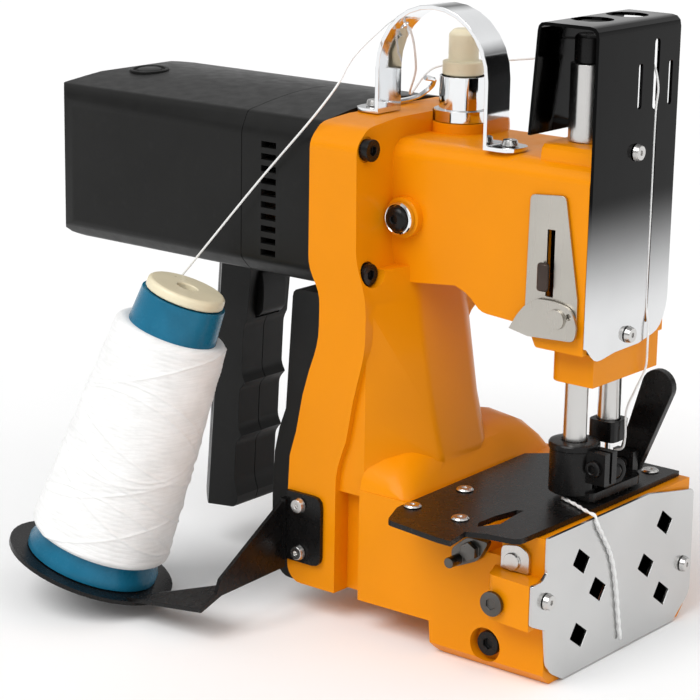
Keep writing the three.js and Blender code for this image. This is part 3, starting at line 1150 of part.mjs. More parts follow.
const tongue = hull([
  ...TONGUE.disc.flatMap(([x, y]) => [[x, y, 0], [x, y, STAND.sheet]]),
  ...TONGUE.foldX.flatMap((x) => TONGUE.fold.map(([y, z]) => standPoint(x, y, z))),
]);
const disc = barZ(STAND.disc, 0, STAND.sheet, 0, 0, 2 * ROUND_SIDES);
const peg = barZ(STAND.peg, STAND.sheet - GAP, STAND.pegTop, 0, 0, SMALL_SIDES);
piece("stand_bracket", join(fixedEnd, tongue, disc, peg), BLACK_METAL, spoolStand);
standSeats.forEach((seat, index) => {
  const name = ["stand_screw_upper", "stand_screw_lower"][index];
  screw(name, seat, OUT_NEAR, PAN, SCREW_DEPTH - GAP, body, STEEL);
});

const seatZ = STAND.sheet + GAP;
const cone = turned([
  [CONE.foot - CONE.wall, seatZ], [CONE.flange, seatZ], [CONE.flange, CONE.flangeZ],
  [CONE.foot, CONE.footZ],
  [CONE.head, CONE.headZ], [CONE.head - CONE.wall, CONE.headZ],
], 2 * ROUND_SIDES);
piece("spool_cone", cone, BLUE, spoolStand);
const slope = (CONE.foot - CONE.head) / (CONE.headZ - CONE.footZ);
const coneAt = (z) => CONE.foot - slope * (z - CONE.footZ) + GAP * 2;
const wound = turned([
  [coneAt(WOUND.floor), WOUND.floor], [WOUND.footRadius - OVERCUT, WOUND.floor],
  [WOUND.footRadius, WOUND.floor + WOUND.shoulder], [WOUND.headRadius, WOUND.top - WOUND.shoulder],
  [WOUND.headRadius - WOUND.shoulder, WOUND.top], [coneAt(WOUND.top), WOUND.top],
], 2 * ROUND_SIDES);
piece("thread_package", wound, THREAD, spoolStand);
const spoolCap = turned([
  [SPOOL_CAP.bore, SPOOL_CAP.z0], [SPOOL_CAP.radius, SPOOL_CAP.z0],
  [SPOOL_CAP.radius, SPOOL_CAP.z1 - OVERCUT],
  [SPOOL_CAP.radius - OVERCUT, SPOOL_CAP.z1], [SPOOL_CAP.bore, SPOOL_CAP.z1],
]);
piece("spool_cap", spoolCap, CREAM, spoolStand);

// ---------- Threads ----------

piece(
  "needle_thread", tube(THREAD_PATH, THREAD_SIZE.needle / 2, THREAD_SIZE.needleSteps, TUBE_SIDES),
  THREAD, machine,
);
piece(
  "stitch_tail", tube(TAIL_PATH, THREAD_SIZE.tail / 2, THREAD_SIZE.tailSteps, TUBE_SIDES), THREAD,
  machine,
);

export default machine;
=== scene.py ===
"""Bag closer sewing machine: looks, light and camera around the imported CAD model.

Metres, with +X towards the needle end and +Z up. Numbers marked as millimetres are scaled by MM where they
are used.
"""

import json
import math

import bmesh
import bpy
import numpy as np
from mathutils import Matrix, Vector


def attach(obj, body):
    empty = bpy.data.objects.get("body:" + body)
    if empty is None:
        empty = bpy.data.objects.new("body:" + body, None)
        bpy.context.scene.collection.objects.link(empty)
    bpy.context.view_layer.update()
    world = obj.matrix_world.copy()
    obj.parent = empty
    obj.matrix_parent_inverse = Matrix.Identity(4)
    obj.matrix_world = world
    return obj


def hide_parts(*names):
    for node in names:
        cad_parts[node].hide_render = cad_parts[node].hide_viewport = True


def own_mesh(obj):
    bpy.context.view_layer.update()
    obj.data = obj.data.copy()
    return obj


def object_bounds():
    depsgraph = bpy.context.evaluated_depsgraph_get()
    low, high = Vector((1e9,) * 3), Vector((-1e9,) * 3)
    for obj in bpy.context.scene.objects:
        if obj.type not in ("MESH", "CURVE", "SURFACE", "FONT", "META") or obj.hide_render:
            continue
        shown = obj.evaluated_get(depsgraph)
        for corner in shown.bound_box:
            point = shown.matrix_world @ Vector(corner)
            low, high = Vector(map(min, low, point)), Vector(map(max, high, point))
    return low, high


MM = 0.001

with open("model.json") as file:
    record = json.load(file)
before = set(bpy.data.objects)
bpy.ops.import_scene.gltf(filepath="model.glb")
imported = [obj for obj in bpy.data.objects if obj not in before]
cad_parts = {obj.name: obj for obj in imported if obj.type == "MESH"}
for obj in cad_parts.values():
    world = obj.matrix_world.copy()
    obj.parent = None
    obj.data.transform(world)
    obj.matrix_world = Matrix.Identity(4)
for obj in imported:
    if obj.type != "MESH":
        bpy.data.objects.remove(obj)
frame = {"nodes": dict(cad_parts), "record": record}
nodes = frame["nodes"]
cad_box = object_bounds()
scene = bpy.context.scene
rng = np.random.default_rng(7)


# ---------------------------------------------------------------- camera
CAMERA_PLACE = (0.4591, -0.7086, 0.3330)
CAMERA_YAW = 38.46
CAMERA_PITCH = 14.91
CAMERA_ROLL = 0.98
FOCAL_PIXELS = 2374
FRAME_PIXELS = 700
SENSOR = 36.0


def camera_axes(yaw, pitch, roll):
    """The camera's right, up and backward directions."""
    level_part = math.cos(pitch)
    forward = -Vector((math.sin(yaw) * level_part, -math.cos(yaw) * level_part, math.sin(pitch)))
    level = forward.cross(Vector((0, 0, 1))).normalized()
    upright = level.cross(forward)
    right = level * math.cos(roll) + upright * math.sin(roll)
    up = upright * math.cos(roll) - level * math.sin(roll)
    return right, up, -forward


def make_camera():
    """The scene's camera, with its focal length worked out from pixels of a square frame."""
    data = bpy.data.cameras.new("camera")
    data.sensor_width = SENSOR
    data.lens = SENSOR * FOCAL_PIXELS / FRAME_PIXELS
    data.clip_start = 0.01
    camera = bpy.data.objects.new("camera", data)
    scene.collection.objects.link(camera)
    axes = camera_axes(*(math.radians(a) for a in (CAMERA_YAW, CAMERA_PITCH, CAMERA_ROLL)))
    turn = Matrix([list(a) for a in axes]).transposed().to_4x4()
    camera.matrix_world = Matrix.Translation(CAMERA_PLACE) @ turn
    scene.camera = camera


make_camera()


# ---------------------------------------------------------------- shader building
# the part of a noise's range that a ramp spreads from its first to its last colour
NOISE_LOW = 0.3
NOISE_HIGH = 0.7
LEAST_ROUGHNESS = 0.02
COAT_ROUGHNESS = 0.08
DUST_SPOTS = (0.55, 0.8)


def add_node(tree, kind, links=(), **values):
    """A shader node; values named in_X set the input X, the rest are properties."""
    made = tree.nodes.new(kind)
    for key, value in values.items():
        if not key.startswith("in_"):
            setattr(made, key, value)
    for key, value in values.items():
        if key.startswith("in_"):
            made.inputs[key[3:].replace("_", " ")].default_value = value
    for name, source in links:
        tree.links.new(source, made.inputs[name])
    return made


def ramp(tree, source, stops):
    """Colours from a value: stops are (place, colour) in rising order."""
    made = tree.nodes.new("ShaderNodeValToRGB")
    elements = made.color_ramp.elements
    while len(elements) < len(stops):
        elements.new(0.5)
    for element, (place, colour) in zip(elements, stops):
        element.position = place
        element.color = (*colour, 1)
    tree.links.new(source, made.inputs["Fac"])
    return made.outputs["Color"]


def grey(value):
    return (value, value, value)


def scaled(colour, factor):
    """The colour made lighter or darker, with no channel over 1."""
    return tuple(min(1.0, c * factor) for c in colour)


def place_source(tree, stretch=(1, 1, 1)):
    """The object's own coordinates, each multiplied by its factor in stretch."""
    coordinates = tree.nodes.new("ShaderNodeTexCoord").outputs["Object"]
    mapping = add_node(tree, "ShaderNodeMapping", [("Vector", coordinates)])
    mapping.inputs["Scale"].default_value = stretch
    return mapping.outputs["Vector"]


def noise(tree, vector, scale, detail=3.0, rough=0.5):
    """A noise value from 0 to 1, finer with scale and busier with detail."""
    made = add_node(
        tree,
        "ShaderNodeTexNoise",
        [("Vector", vector)],
        in_Scale=scale,
        in_Detail=detail,
        in_Roughness=rough,
    )
    return made.outputs["Fac"]


def mixed(tree, kind, factor, first, second):
    """Two colours joined; first and second are sockets or colours, factor a socket or number."""
    made = add_node(tree, "ShaderNodeMix", data_type="RGBA", blend_type=kind)
    for index, value in ((0, factor), (6, first), (7, second)):
        if isinstance(value, bpy.types.NodeSocket):
            tree.links.new(value, made.inputs[index])
        elif index == 0:
            made.inputs[index].default_value = value
        else:
            made.inputs[index].default_value = (*value, 1)
    return made.outputs[2]


def bumped(tree, height, depth, normal=None):
    """A normal with relief of the given depth, on top of another normal if there is one."""
    made = add_node(tree, "ShaderNodeBump", [("Height", height)], in_Strength=1.0, in_Distance=depth)
    if normal is not None:
        tree.links.new(normal, made.inputs["Normal"])
    return made.outputs["Normal"]


def new_material(name):
    material = bpy.data.materials.new(name)
    material.use_nodes = True
    tree = material.node_tree
    return material, tree, tree.nodes["Principled BSDF"]


def inside_box(tree, place, middle, half):
    """A value of 1 inside the box and 0 outside it."""
    parts = add_node(tree, "ShaderNodeSeparateXYZ", [("Vector", place)])
    inside = None
    for axis in range(3):
        near = add_node(tree, "ShaderNodeMath", operation="COMPARE")
        tree.links.new(parts.outputs[axis], near.inputs[0])
        near.inputs[1].default_value = middle[axis]
        near.inputs[2].default_value = half[axis]
        if inside is None:
            inside = near.outputs[0]
            continue
        both = add_node(tree, "ShaderNodeMath", operation="MULTIPLY")
        tree.links.new(inside, both.inputs[0])
        tree.links.new(near.outputs[0], both.inputs[1])
        inside = both.outputs[0]
    return inside


# the inside of the casting, painted near black as painted shade, as (middle, half size) boxes
CASTING_INSIDE_PAINTED_SHADE = (0.006, 0.0055, 0.005)
BASE_ROOM = ((0.0019, 0, 0.0275), (0.0224, 0.0395, 0.023))
HEAD_ROOM = ((-0.0122, 0, 0.159), (0.0302, 0.024, 0.0215))


def finish_of(
    name,
    colour,
    roughness,
    metallic=0.0,
    coat=0.0,
    specular=0.5,
    tint=(0.94, 1.05),
    patch=60,
    smear=0.05,
    grain=(2500, 0.00001),
    swell=None,
    stretch=(1, 1, 1),
    dust=0.0,
    painted_reflection_fade=None,
    sheen=0.0,
    bare=(),
):
    """A surface with patches of slightly lighter and darker colour, uneven gloss and a fine relief.

    tint holds the factors of the darkest and lightest patches, patch is their noise scale, and smear is
    how far the roughness strays. grain is the scale and depth of the fine relief, swell those of a slow
    one, stretch makes the grain run one way, dust lightens patches, the fade argument is (height, height,
    factor, factor) for a painted reflection that changes the colour's brightness along Z, and the last
    argument lists boxes as (middle, half size) whose inside is painted near black as painted shade."""
    material, tree, shader = new_material(name)
    plain = place_source(tree)
    fine = place_source(tree, stretch)
    patches = noise(tree, plain, patch, 4)
    tone = ramp(
        tree, patches, [(NOISE_LOW, scaled(colour, tint[0])), (NOISE_HIGH, scaled(colour, tint[1]))]
    )
    if dust:
        speckle = noise(tree, plain, patch * 6, 6, 0.7)
        spots = ramp(tree, speckle, [(DUST_SPOTS[0], grey(0)), (DUST_SPOTS[1], grey(dust))])
        tone = mixed(tree, "SCREEN", 1.0, tone, spots)
    # painted reflection: the colour is multiplied by a factor that changes with height along Z
    if painted_reflection_fade:
        low, high, low_factor, high_factor = painted_reflection_fade
        split = add_node(tree, "ShaderNodeSeparateXYZ", [("Vector", plain)])
        span = add_node(
            tree,
            "ShaderNodeMapRange",
            [("Value", split.outputs["Z"])],
            in_From_Min=low,
            in_From_Max=high,
            in_To_Min=low_factor,
            in_To_Max=high_factor,
            interpolation_type="SMOOTHSTEP",
        )
        tone = mixed(tree, "MULTIPLY", 1.0, tone, span.outputs["Result"])
    # painted shade: inside each box the colour is painted near black
    for middle, half in bare:
        tone = mixed(tree, "MIX", inside_box(tree, plain, middle, half), tone, CASTING_INSIDE_PAINTED_SHADE)
    tree.links.new(tone, shader.inputs["Base Color"])
    low = max(LEAST_ROUGHNESS, roughness - smear)
    high = min(1.0, roughness + smear)
    gloss = ramp(tree, noise(tree, fine, patch * 5, 5), [(NOISE_LOW, grey(low)), (NOISE_HIGH, grey(high))])
    tree.links.new(gloss, shader.inputs["Roughness"])
    relief = bumped(tree, noise(tree, fine, grain[0], 2), grain[1])
    if swell:
        relief = bumped(tree, noise(tree, plain, swell[0], 2), swell[1], relief)
    tree.links.new(relief, shader.inputs["Normal"])
    shader.inputs["Metallic"].default_value = metallic
    shader.inputs["Specular IOR Level"].default_value = specular
    shader.inputs["Coat Weight"].default_value = coat
    shader.inputs["Coat Roughness"].default_value = COAT_ROUGHNESS
    shader.inputs["Sheen Weight"].default_value = sheen
    return material


SURFACES = {
    # the orange paint carries painted shade: near black inside the casting's base and head rooms
    "orange_paint": finish_of(
        "orange_paint", (0.78, 0.258, 0.001), 0.34, coat=0.04, specular=0.12, tint=(0.97, 1.02), patch=35,
        grain=(900, 0.000008), swell=(260, 0.00003), bare=(BASE_ROOM, HEAD_ROOM),
    ),
    "black_plastic": finish_of(
        "black_plastic", (0.0075, 0.0075, 0.0072), 0.36, specular=0.17, tint=(0.85, 1.2), patch=40,
        grain=(2600, 0.00003), swell=(500, 0.00002), dust=0.004,
    ),
    "black_metal": finish_of(
        "black_metal", (0.0045, 0.0042, 0.0042), 0.28, specular=0.24, tint=(0.8, 1.3), patch=60,
        grain=(1500, 0.00001), dust=0.002,
    ),
    "chrome": finish_of(
        "chrome", (0.86, 0.87, 0.88), 0.07, metallic=1.0, tint=(0.95, 1.02), patch=30, smear=0.03,
        grain=(1800, 0.000002), swell=(60, 0.00006),
    ),
    "steel": finish_of(
        "steel", (0.62, 0.61, 0.595), 0.24, metallic=1.0, tint=(0.94, 1.04), patch=40, smear=0.05,
        grain=(700, 0.000003), stretch=(1, 1, 0.1),
    ),
    "dark_steel": finish_of(
        "dark_steel", (0.11, 0.106, 0.1), 0.33, metallic=1.0, tint=(0.8, 1.2), patch=80, smear=0.06,
        grain=(1200, 0.00001), dust=0.01,
    ),
    "cream_plastic": finish_of(
        "cream_plastic", (0.78, 0.70, 0.50), 0.32, specular=0.4, tint=(0.95, 1.04), patch=90,
        grain=(1400, 0.00001), swell=(300, 0.00003),
    ),
    "blue_plastic": finish_of(
        "blue_plastic", (0.010, 0.135, 0.235), 0.26, specular=0.22, tint=(0.85, 1.15), patch=70,
        grain=(1400, 0.00001), swell=(250, 0.00004), dust=0.006,
    ),
    "thread": finish_of(
        "thread", (0.86, 0.86, 0.85), 0.75, specular=0.2, tint=(0.93, 1.0), patch=400,
        grain=(4000, 0.00008), sheen=0.3,
    ),
    "copper": finish_of(
        "copper", (0.42, 0.17, 0.06), 0.35, metallic=1.0, tint=(0.8, 1.2), patch=200, grain=(1800, 0.00005),
        stretch=(1, 12, 12),
    ),
    "rubber": finish_of(
        "rubber", (0.02, 0.02, 0.021), 0.6, specular=0.3, tint=(0.8, 1.3), patch=150, grain=(1500, 0.00005),
    ),
}

# the needle bar cover's chrome with a painted reflection: nearly black above, light below
COVER_CHROME_PAINTED_REFLECTION = finish_of(
    "cover_chrome_painted_reflection", (0.80, 0.805, 0.81), 0.09, metallic=1.0, tint=(0.93, 1.03), patch=30, smear=0.03,
    grain=(1800, 0.000002), swell=(50, 0.00005), painted_reflection_fade=(0.125, 0.173, 0.95, 0.008),
)
PLATE_STEEL = finish_of(
    "plate_steel", (0.50, 0.475, 0.43), 0.27, metallic=1.0, tint=(0.9, 1.04), patch=30, smear=0.05,
    grain=(600, 0.000006), stretch=(1, 1, 0.08),
)
TAB_METAL = finish_of(
    "tab_metal", (0.05, 0.036, 0.03), 0.35, metallic=0.5, specular=0.3, tint=(0.8, 1.2), patch=120,
    grain=(1600, 0.00001),
)
FRONT_STEEL = finish_of(
    "front_steel", (0.60, 0.60, 0.595), 0.2, metallic=1.0, tint=(0.93, 1.03), patch=25, smear=0.04,
    grain=(700, 0.000004), stretch=(1, 0.12, 1),
)


# ---------------------------------------------------------------- CAD nodes: soft edges and finishes
FLAT_LIMIT = math.radians(0.6)
BEVEL_LIMIT = math.radians(32)
BEVEL_STEPS = 2
SPLIT_ANGLE = math.radians(28)
NORMAL_WEIGHT = 60
WELD_DISTANCE = 0.00002
NO_BEVEL = {
    "needle_thread",
    "stitch_tail",
    "thread_package",
    "presser_spring",
    "thread_guide",
    "motor_front_housing",
}
EDGE_WIDTHS = {
    "main_casting": 0.0009,
    "motor_rear_housing": 0.0007,
    "column_back_cover": 0.0008,
    "grip_near_shell": 0.0006,
    "grip_far_shell": 0.0006,
    "trigger": 0.0006,
    "throat_plate": 0.0003,
    "front_plate": 0.00025,
    "needle_bar_cover": 0.0003,
    "strap_handle": 0.0003,
    "oil_pump_cap": 0.0006,
    "spool_cap": 0.0006,
}
COMMON_EDGE = 0.0002


def split_edges(obj):
    """Keeps the sharp edges of a smoothly shaded piece crisp."""
    crisp = obj.modifiers.new("crisp", "EDGE_SPLIT")
    crisp.split_angle = SPLIT_ANGLE


def soften(obj, width):
    """Rounds a CAD node's sharp edges to width, or only splits them if width is None, and shades the rest
    smoothly. Its points stay where they are: only smooth shading is set, and modifiers do the rest."""
    obj.data.polygons.foreach_set("use_smooth", [True] * len(obj.data.polygons))
    weld = obj.modifiers.new("weld", "WELD")
    weld.merge_threshold = WELD_DISTANCE
    if width is None:
        split_edges(obj)
        return
    flat = obj.modifiers.new("flat", "DECIMATE")
    flat.decimate_type = "DISSOLVE"
    flat.angle_limit = FLAT_LIMIT
    edge = obj.modifiers.new("edge", "BEVEL")
    edge.width = width
    edge.segments = BEVEL_STEPS
    edge.limit_method = "ANGLE"
    edge.angle_limit = BEVEL_LIMIT
    edge.use_clamp_overlap = True
    edge.miter_outer = "MITER_ARC"
    shade = obj.modifiers.new("shade", "WEIGHTED_NORMAL")
    shade.weight = NORMAL_WEIGHT
    shade.keep_sharp = False


def paint(obj, material):
    obj.data.materials.clear()
    obj.data.materials.append(material)


slot_of = {part["node"]: part["material_slot"] for part in frame["record"]["subparts"]}
for name, obj in nodes.items():
    paint(obj, SURFACES[slot_of[name]])
    soften(obj, None if name in NO_BEVEL else EDGE_WIDTHS.get(name, COMMON_EDGE))
# materials of their own; the needle bar cover's carries a painted reflection, dark towards its top
OWN_FINISH = {
    "needle_bar_cover": COVER_CHROME_PAINTED_REFLECTION,
    "front_plate": FRONT_STEEL,
    "side_plate": PLATE_STEEL,
    "side_lever": PLATE_STEEL,
}
for name, material in OWN_FINISH.items():
    paint(nodes[name], material)


# ---------------------------------------------------------------- threads
# routes in millimetres
NEEDLE_ROUTE = [
    (-150, -60, 115), (-143.4, -56.6, 123.9), (-112.4, -47, 164.1), (-83.5, -46, 195.1),
    (-79.5, -40, 204.5), (-77.5, -35, 212.9), (-74, -26, 221.4), (-69.4, -18.6, 227.2),
    (-66, -16.4, 224.2), (-70, -6, 208), (-79, 3, 196.2), (-76, 12.5, 205),
    (-60, 23, 208), (-30, 29.5, 212.5), (-6, 31, 216.5), (6, 26.6, 218.8),
    (16, 16, 219), (22.2, 11.8, 215.4), (23.8, 12, 208.5), (23, 12.4, 201),
    (22.9, 12.4, 160), (22.9, 12.4, 134), (23.3, 12.4, 127.4), (24.3, 12.4, 122),
    (24.4, 12.5, 114), (23.9, 12.8, 106), (20, 13.2, 97), (16.4, 13.3, 88),
    (16.3, 13.3, 77), (15.4, 13.2, 73.2), (12, 13.1, 71.8),
]
TAIL_ROUTE = [
    (7, -13.2, 58.6), (15, -16.5, 58.6), (23, -20.6, 58.6), (26.4, -21, 58),
    (27.2, -20.2, 55), (27.2, -9, 38), (27.2, -0.8, 4.8),
]
NEEDLE_THREAD = 0.0009
TAIL_THREAD = 0.0014
# each thread as (piece, CAD node, route, diameter, plies, pitch, depth of the plies, far end, lay)
THREADS = (
    (
        "needle_thread_plied", "needle_thread", NEEDLE_ROUTE, NEEDLE_THREAD,
        3, 0.0024, 0.16, "object", "taut",
    ),
    (
        "stitch_tail_plied", "stitch_tail", TAIL_ROUTE, TAIL_THREAD,
        2, 0.0085, 0.45, "bare", "hanging",
    ),
)
RING_GAP = 0.55
CURVE_STEPS = 40
LEAST_GAP = 1e-9
TUBE_SIDES = 16


def smooth_route(points, step):
    """Points about step metres apart on the centripetal Catmull-Rom curve through points in millimetres,
    and the curve's length in metres."""
    known = [Vector(p) * MM for p in points]
    known = [known[0] * 2 - known[1]] + known + [known[-1] * 2 - known[-2]]
    dense = []
    for a, b, c, d in zip(known, known[1:], known[2:], known[3:]):
        t = [0.0]
        for first, second in ((a, b), (b, c), (c, d)):
            t.append(t[-1] + max((second - first).length, LEAST_GAP) ** 0.5)
        for i in range(CURVE_STEPS):
            x = t[1] + (t[2] - t[1]) * i / CURVE_STEPS
            a1 = a * ((t[1] - x) / (t[1] - t[0])) + b * ((x - t[0]) / (t[1] - t[0]))
            a2 = b * ((t[2] - x) / (t[2] - t[1])) + c * ((x - t[1]) / (t[2] - t[1]))
            a3 = c * ((t[3] - x) / (t[3] - t[2])) + d * ((x - t[2]) / (t[3] - t[2]))
            b1 = a1 * ((t[2] - x) / (t[2] - t[0])) + a2 * ((x - t[0]) / (t[2] - t[0]))
            b2 = a2 * ((t[3] - x) / (t[3] - t[1])) + a3 * ((x - t[1]) / (t[3] - t[1]))
            dense.append(b1 * ((t[2] - x) / (t[2] - t[1])) + b2 * ((x - t[1]) / (t[2] - t[1])))
    dense.append(known[-2])
    gaps = [(q - p).length for p, q in zip(dense, dense[1:])]
    total = sum(gaps)
    count = max(8, round(total / step))
    places = np.linspace(0, total, count + 1)
    along = np.concatenate([[0], np.cumsum(gaps)])
    table = np.array([list(p) for p in dense])
    return [Vector([np.interp(s, along, table[:, k]) for k in range(3)]) for s in places], total


def link_mesh(name, verts, faces, material):
    """A smoothly shaded mesh object in the scene."""
    data = bpy.data.meshes.new(name)
    data.from_pydata([tuple(v) for v in verts], [], faces)
    data.validate()
    data.polygons.foreach_set("use_smooth", [True] * len(data.polygons))
    data.materials.append(material)
    obj = bpy.data.objects.new(name, data)
    scene.collection.objects.link(obj)
    return obj


def plied_tube(name, path, diameter, plies, pitch, depth, material, sides=TUBE_SIDES):
    """A tube along path whose section has one lobe per ply, depth deep, and turns once every pitch."""
    radius = diameter / 2
    verts, faces = [], []
    side = Vector((0, 0, 1)).cross(path[1] - path[0])
    side = (side if side.length > LEAST_GAP else Vector((1, 0, 0))).normalized()
    run = 0.0
    for i, point in enumerate(path):
        tangent = (path[min(i + 1, len(path) - 1)] - path[max(i - 1, 0)]).normalized()
        side = (side - tangent * side.dot(tangent)).normalized()
        other = tangent.cross(side)
        if i:
            run += (point - path[i - 1]).length
        for k in range(sides):
            angle = math.tau * k / sides
            lobe = 1 - depth * (0.5 + 0.5 * math.cos(plies * (angle - math.tau * run / pitch)))
            verts.append(point + (side * math.cos(angle) + other * math.sin(angle)) * radius * lobe)
    count = len(path)
    for i in range(count - 1):
        for k in range(sides):
            a, b = i * sides + k, i * sides + (k + 1) % sides
            faces.append((a, b, b + sides, a + sides))
    faces.append(tuple(range(sides))[::-1])
    faces.append(tuple((count - 1) * sides + k for k in range(sides)))
    return link_mesh(name, verts, faces, material)


for piece_name, node_name, route, width, plies, pitch, depth, far_end, lay in THREADS:
    path, total = smooth_route(route, width * RING_GAP)
    thread = plied_tube(piece_name, path, width, plies, pitch, depth, SURFACES["thread"])
    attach(thread, "frame")
    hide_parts(node_name)


# ---------------------------------------------------------------- wound thread package
SPOOL_CENTRE = Vector((-0.161, -0.088, 0.013))
SPOOL_AXIS = Vector((0.264329, 0.183951, 0.946730)).normalized()
SPOOL_TURN = SPOOL_AXIS.to_track_quat("Z", "Y").to_matrix().to_4x4()
SPOOL_PLACE = Matrix.Translation(SPOOL_CENTRE) @ SPOOL_TURN
WOUND_BOTTOM = 0.011
WOUND_TOP = 0.101
WOUND_FOOT = 0.028
WOUND_HEAD = 0.0224
WOUND_SHOULDER = 0.003
WOUND_RINGS = 300
WOUND_SIDES = 220
WOUND_PITCH = 0.0019
WOUND_BAND = 0.011
RIDGE_DEPTH = 0.00007
BAND_DEPTH = 0.00012
SURFACE_INSET = 0.0003
PROUD_STRANDS = 11
STRAND_REACH = 0.0007
STRAND_HEIGHT = 0.00045
END_INNER = 0.82
END_DISH = 0.0012


def wound_material():
    """White thread, with faint strands round the cone."""
    material, tree, shader = new_material("wound_thread")
    place = place_source(tree)
    tone = ramp(
        tree,
        noise(tree, place, 90, 5, 0.65),
        [(NOISE_LOW, (0.80, 0.80, 0.79)), (NOISE_HIGH, (0.9, 0.9, 0.895))],
    )
    strand = noise(tree, place_source(tree, (1, 1, 22)), 60, 3)
    tone = mixed(tree, "MULTIPLY", 0.35, tone, ramp(tree, strand, [(0.35, grey(0.84)), (0.6, grey(1.0))]))
    tree.links.new(tone, shader.inputs["Base Color"])
    shader.inputs["Roughness"].default_value = 0.8
    shader.inputs["Specular IOR Level"].default_value = 0.2
    shader.inputs["Sheen Weight"].default_value = 0.35
    relief = bumped(tree, noise(tree, place_source(tree, (1, 1, 9)), 700, 3), 0.0001)
    tree.links.new(relief, shader.inputs["Normal"])
    return material


def wound_package():
    """The cone of crosswound thread: fine crossing ridges, a few proud strands, rounded shoulders."""
    span = WOUND_TOP - WOUND_BOTTOM
    verts, faces = [], []
    proud = [
        (rng.uniform(0.1, 0.9), rng.uniform(0.08, 0.2), rng.uniform(0, math.tau))
        for _ in range(PROUD_STRANDS)
    ]
    for i in range(WOUND_RINGS + 1):
        z = span * i / WOUND_RINGS
        radius = WOUND_FOOT + (WOUND_HEAD - WOUND_FOOT) * z / span
        for end in (z, span - z):
            if end < WOUND_SHOULDER:
                inward = WOUND_SHOULDER - end
                radius -= WOUND_SHOULDER - math.sqrt(max(0, WOUND_SHOULDER**2 - inward**2))
        for k in range(WOUND_SIDES):
            angle = math.tau * k / WOUND_SIDES
            rise = z / WOUND_PITCH * math.tau
            left = math.cos(rise + 5 * angle)
            right = math.cos(rise * 0.97 - 4 * angle)
            dent = RIDGE_DEPTH * (1 - max(left, right))
            wave = z / WOUND_BAND * math.tau + 2 * angle + 1.3 * math.sin(3 * angle)
            dent += BAND_DEPTH * (1 - math.cos(wave))
            for place_z, slope, start in proud:
                gap = abs((z / span - place_z) - slope * math.sin(angle + start)) * span
                if gap < STRAND_REACH:
                    dent -= STRAND_HEIGHT * (1 - gap / STRAND_REACH)
            r = radius - SURFACE_INSET - max(-SURFACE_INSET, dent)
            verts.append((r * math.cos(angle), r * math.sin(angle), WOUND_BOTTOM + z))
    for i in range(WOUND_RINGS):
        for k in range(WOUND_SIDES):
            a, b = i * WOUND_SIDES + k, i * WOUND_SIDES + (k + 1) % WOUND_SIDES
            faces.append((a, b, b + WOUND_SIDES, a + WOUND_SIDES))
    for ring, flip in ((0, True), (WOUND_RINGS, False)):
        centre = len(verts)
        for k in range(WOUND_SIDES):
            x, y, z = verts[ring * WOUND_SIDES + k]
            verts.append((x * END_INNER, y * END_INNER, z + (END_DISH if flip else -END_DISH)))
        for k in range(WOUND_SIDES):
            a, b = ring * WOUND_SIDES + k, ring * WOUND_SIDES + (k + 1) % WOUND_SIDES
            c, d = centre + (k + 1) % WOUND_SIDES, centre + k
            faces.append((d, c, b, a) if flip else (a, b, c, d))
    obj = link_mesh("thread_package_wound", verts, faces, wound_material())
    obj.data.transform(SPOOL_PLACE)
    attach(obj, "spool")
    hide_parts("thread_package")


wound_package()


# ---------------------------------------------------------------- small turned and rounded pieces
LATHE_SIDES = 64
ROUNDING_STEPS = 3


def lathe(name, profile, place, axis, material):
    """A turned piece from (radius, height) pairs along axis, starting at place; all in millimetres."""
    turn = Vector(axis).normalized().to_track_quat("Z", "Y").to_matrix().to_4x4()
    move = Matrix.Translation(Vector(place) * MM) @ turn
    verts, faces, rings = [], [], []
    for radius, height in profile:
        if radius == 0:
            rings.append([len(verts)])
            verts.append(move @ Vector((0, 0, height * MM)))
            continue
        rings.append(list(range(len(verts), len(verts) + LATHE_SIDES)))
        for k in range(LATHE_SIDES):
            angle = math.tau * k / LATHE_SIDES
            point = Vector((radius * math.cos(angle), radius * math.sin(angle), height))
            verts.append(move @ (point * MM))
    for low, high in zip(rings, rings[1:]):
        for k in range(LATHE_SIDES):
            n = (k + 1) % LATHE_SIDES
            if len(low) == 1:
                faces.append((low[0], high[n], high[k]))
            elif len(high) == 1:
                faces.append((low[k], low[n], high[0]))
            else:
                faces.append((low[k], low[n], high[n], high[k]))
    obj = link_mesh(name, verts, faces, material)
    split_edges(obj)
    return obj


def rounded_block(name, low, high, radius, material):
    """A block with rounded edges between two corners in millimetres."""
    made = bmesh.new()
    bmesh.ops.create_cube(made, size=1.0)
    low, high = Vector(low), Vector(high)
    for v in made.verts:
        v.co = Vector([(low[k] + high[k]) / 2 + v.co[k] * (high[k] - low[k]) for k in range(3)]) * MM
    bmesh.ops.bevel(
        made,
        geom=list(made.edges),
        offset=radius * MM,
        segments=ROUNDING_STEPS,
        profile=0.5,
        affect="EDGES",
    )
    data = bpy.data.meshes.new(name)
    made.to_mesh(data)
    made.free()
    data.polygons.foreach_set("use_smooth", [True] * len(data.polygons))
    data.materials.append(material)
    obj = bpy.data.objects.new(name, data)
    scene.collection.objects.link(obj)
    shade = obj.modifiers.new("shade", "WEIGHTED_NORMAL")
    shade.weight = NORMAL_WEIGHT
    return obj


